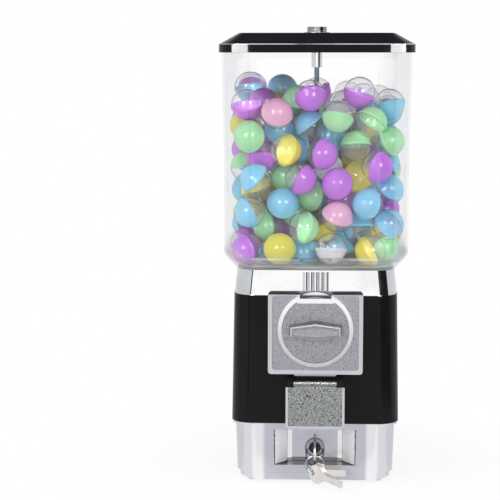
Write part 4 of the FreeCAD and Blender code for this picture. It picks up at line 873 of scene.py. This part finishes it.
# %% [markdown]
# Caps of each colour are one run of the tree and one piece, and all the clear cups are another. The
# cups throw no shadow: lamp rays stop after a few clear walls, so it would be much too dark.

# %% Deal the capsules
runs = [("caps_" + word, capsule_cap, "capsule_" + word, picked == k) for k, word in enumerate(names)]
runs.append(("cups_clear", capsule_cup, "capsule_clear", picked >= 0))
for name, half, look, mine in runs:
    values = {"Half": half, "Finish": finishes[look]}
    piece = run_tree(name, deal, heap[mine], leans[mine], values)
    piece.visible_shadow = half is capsule_cap
    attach(piece, "machine")
    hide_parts("capsule_heap")
    print(piece.name, int(mine.sum()), "halves,", len(piece.data.polygons), "faces")

# %% [markdown]
# A product photograph in a white studio is half made of what the chrome mirrors: big white sheets with
# dark gaps between them. The gaps are drawn on the floor and on the world by the direction from the
# machine, and only rays that come by a mirror see them. The Light Path node tells those rays apart. The
# camera, straight on or through clear plastic, sees white.

# %% What mirrors see
WHITE = (1, 1, 1, 1)
MIRROR_DEPTH = 0.5
LEFT_GAP = (-0.64, -0.62, -0.53, -0.51)
RIGHT_GAP = (0.44, 0.47, 1.3, 1.36)


def turn_round(b, place):
    """The angle round the machine in radians, 0 in front and growing to the right."""
    part = b.node("ShaderNodeSeparateXYZ", {}, {0: place})
    return b.math("ARCTAN2", part["X"], part["Y"] * -1.0)


def studio_gaps(b, turn):
    """Dark gaps between the sheets. Each starts, is full, begins to end and ends at an angle."""
    def gap(starts, full, ends, ended):
        return b.steps(turn, starts, full) * (1 - b.steps(turn, ends, ended))
    return gap(*LEFT_GAP) + gap(*RIGHT_GAP)


def ray_masks(b):
    """Which rays come by a mirror, and which show the plain white backdrop."""
    rays = b.node("ShaderNodeLightPath")
    in_mirror = rays["Glossy Depth"] > MIRROR_DEPTH
    seen = b.greater(rays["Is Camera Ray"], rays["Is Transmission Ray"] * (1 - in_mirror))
    return in_mirror, seen


print("dark gaps in degrees:", [[round(math.degrees(a)) for a in gap] for gap in (LEFT_GAP, RIGHT_GAP)])

# %% [markdown]
# The floor is a plain pale sheet. Lamps and shadows work on it as usual. To the camera it fades
# into the white of the studio with distance, so no horizon shows and a faint shadow stays at the feet.
# Mirrors see a bright sheet instead, a trifle greyer straight in front and far round the sides, with the
# dark gaps from some way off.

# %% Floor
FLOOR_HALF = 8.0
FLOOR_CELLS = 8
FLOOR_PALE, FLOOR_PALER = (0.9, 0.9, 0.9, 1), (0.93, 0.93, 0.93, 1)
SHEET_GREY = paint(236, 236, 240)
GAP_ON_FLOOR = (0.02, 0.02, 0.022, 1)
NEAR_WHITE = 0.86
WHITE_FROM = (0.12, 0.3)
SHEET_SHARE = 0.75
GREY_IN_FRONT, GREY_ASIDE = (0.3, 0.42), (1.0, 1.2)
GAPS_FROM = (0.4, 0.55)

mesh = bpy.data.meshes.new("floor")
bm = bmesh.new()
bmesh.ops.create_grid(bm, x_segments=FLOOR_CELLS, y_segments=FLOOR_CELLS, size=FLOOR_HALF)
bm.to_mesh(mesh)
bm.free()
floor = bpy.data.objects.new("floor", mesh)
scene.collection.objects.link(floor)
b = Board(bpy.data.materials.new("pale_floor"))
place = b.node("ShaderNodeTexCoord")["Object"]
far = b.vector("LENGTH", place, out="Value")
turn = turn_round(b, place)
aside = b.math("ABSOLUTE", turn)
greyer = b.greater(1 - b.steps(aside, *GREY_IN_FRONT), b.steps(aside, *GREY_ASIDE))
gaps = studio_gaps(b, turn) * b.steps(far, *GAPS_FROM)
sheet = b.mix(gaps, b.mix(greyer, WHITE, SHEET_GREY), GAP_ON_FLOOR)
pale = b.mix(b.noise(scale=3, detail=2), FLOOR_PALE, FLOOR_PALER)
matt = b.node("ShaderNodeBsdfDiffuse", {}, {"Color": pale})["BSDF"]
white = b.node("ShaderNodeEmission", {}, {"Color": WHITE, "Strength": 1.0})["Emission"]
sheen = b.node("ShaderNodeEmission", {}, {"Color": sheet, "Strength": 1.0})["Emission"]
shown = b.blend(NEAR_WHITE + b.steps(far, *WHITE_FROM) * (1 - NEAR_WHITE), matt, white)
in_mirror, seen = ray_masks(b)
lit = b.blend(in_mirror, matt, b.blend(SHEET_SHARE, matt, sheen))
b.surface(b.blend(seen, lit, shown))
floor.data.materials.append(b.owner)
floor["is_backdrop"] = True
print("floor of", 2 * FLOOR_HALF, "m a side")

# %% [markdown]
# The world does three jobs, told apart in the same way: it is white behind the machine, it fills the
# shadows with plain light, and in mirrors it shows the sheets, the gaps, a grey room behind and a dark
# ceiling. The black lines in the collar's corners come from its gaps.

# %% World
FILL = 0.74
ROOM_GREY = (0.62, 0.64, 0.67, 1)
ROOM_LEFT, ROOM_RIGHT = (-0.66, -0.62), (1.3, 1.36)
GAP_ON_WALL = (0.01, 0.01, 0.012, 1)
CEILING = (0.05, 0.05, 0.055, 1)
CEILING_FROM = (0.4, 0.65)

world = bpy.data.worlds.new("studio")
scene.world = world
b = Board(world)
look = b.node("ShaderNodeTexCoord")["Generated"]
up = b.node("ShaderNodeSeparateXYZ", {}, {0: look})["Z"]
turn = turn_round(b, look)
behind = b.greater(b.steps(turn, *ROOM_RIGHT), 1 - b.steps(turn, *ROOM_LEFT))
walls = b.mix(studio_gaps(b, turn), b.mix(behind, WHITE, ROOM_GREY), GAP_ON_WALL)
mirrored = b.mix(b.steps(up, *CEILING_FROM), walls, CEILING)
mirror, fill, white = [
    b.node("ShaderNodeBackground", {}, {"Color": colour, "Strength": strength})["Background"]
    for colour, strength in ((mirrored, 1.0), (WHITE, FILL), (WHITE, 1.0))
]
in_mirror, seen = ray_masks(b)
b.surface(b.blend(seen, b.blend(in_mirror, fill, mirror), white))
print("world fills at", FILL)

# %% [markdown]
# One broad soft lamp above and in front and two weaker ones at the sides shape the machine; mirrors
# don't see them, as they have the sheets. Two small lamps do the opposite and only make glints, as
# on the capsules. Two strips give the lid its white patches, and light linking keeps them off the rest.

# %% Lamps
MACHINE_MIDDLE = (0, 0, 0.22)
SOFT_LAMPS = (
    ("lamp_top", (-0.2, -0.7, 1.6), 1.1, 8),
    ("lamp_left", (-1.3, -0.8, 0.7), 0.8, 4.5),
    ("lamp_right", (1.3, -0.7, 0.6), 0.8, 4),
)
GLINTS = (("glint_left", (-0.65, -1.35, 0.75)), ("glint_right", (0.65, -1.35, 0.75)))
GLINT_SIDE, GLINT_POWER = 0.5, 11
LID_STRIPS = (("lid_strip_left", (-0.85, -0.85, 0.45)), ("lid_strip_right", (1.03, -0.62, 0.45)))
STRIP_SIDES, STRIP_POWER = (1.2, 0.25), 60


def soft_lamp(name, place, sides, power, target=MACHINE_MIDDLE):
    lamp = bpy.data.objects.new(name, bpy.data.lights.new(name, "AREA"))
    lamp.data.shape = "RECTANGLE"
    lamp.data.size, lamp.data.size_y = sides
    lamp.data.energy = power
    lamp.location = place
    lamp.rotation_euler = (Vector(target) - Vector(place)).to_track_quat("-Z", "Y").to_euler()
    scene.collection.objects.link(lamp)
    return lamp


for name, place, side, power in SOFT_LAMPS:
    soft_lamp(name, place, (side, side), power).visible_glossy = False
for name, place in GLINTS:
    soft_lamp(name, place, (GLINT_SIDE, GLINT_SIDE), GLINT_POWER).visible_diffuse = False
lid_only = bpy.data.collections.new("lid_only")
lid_only.objects.link(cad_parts["lid"])
lid_foot = AXIS.x, AXIS.y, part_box("lid")[0].z
for name, place in LID_STRIPS:
    strip = soft_lamp(name, place, STRIP_SIDES, STRIP_POWER, lid_foot)
    strip.visible_diffuse = False
    strip.light_linking.receiver_collection = lid_only

# %% [markdown]
# Last, the measure that matters to whoever reuses the part: the dressed machine must fill the same
# box as the imported solids. The script prints how far the dressed box has grown past the imported one.

# %% Measure and finish
shown_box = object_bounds()
grown = [after - before for corner in zip(cad_box, shown_box) for before, after in zip(*corner)]
print("grown by, in mm:", in_mm(grown, digits=2))
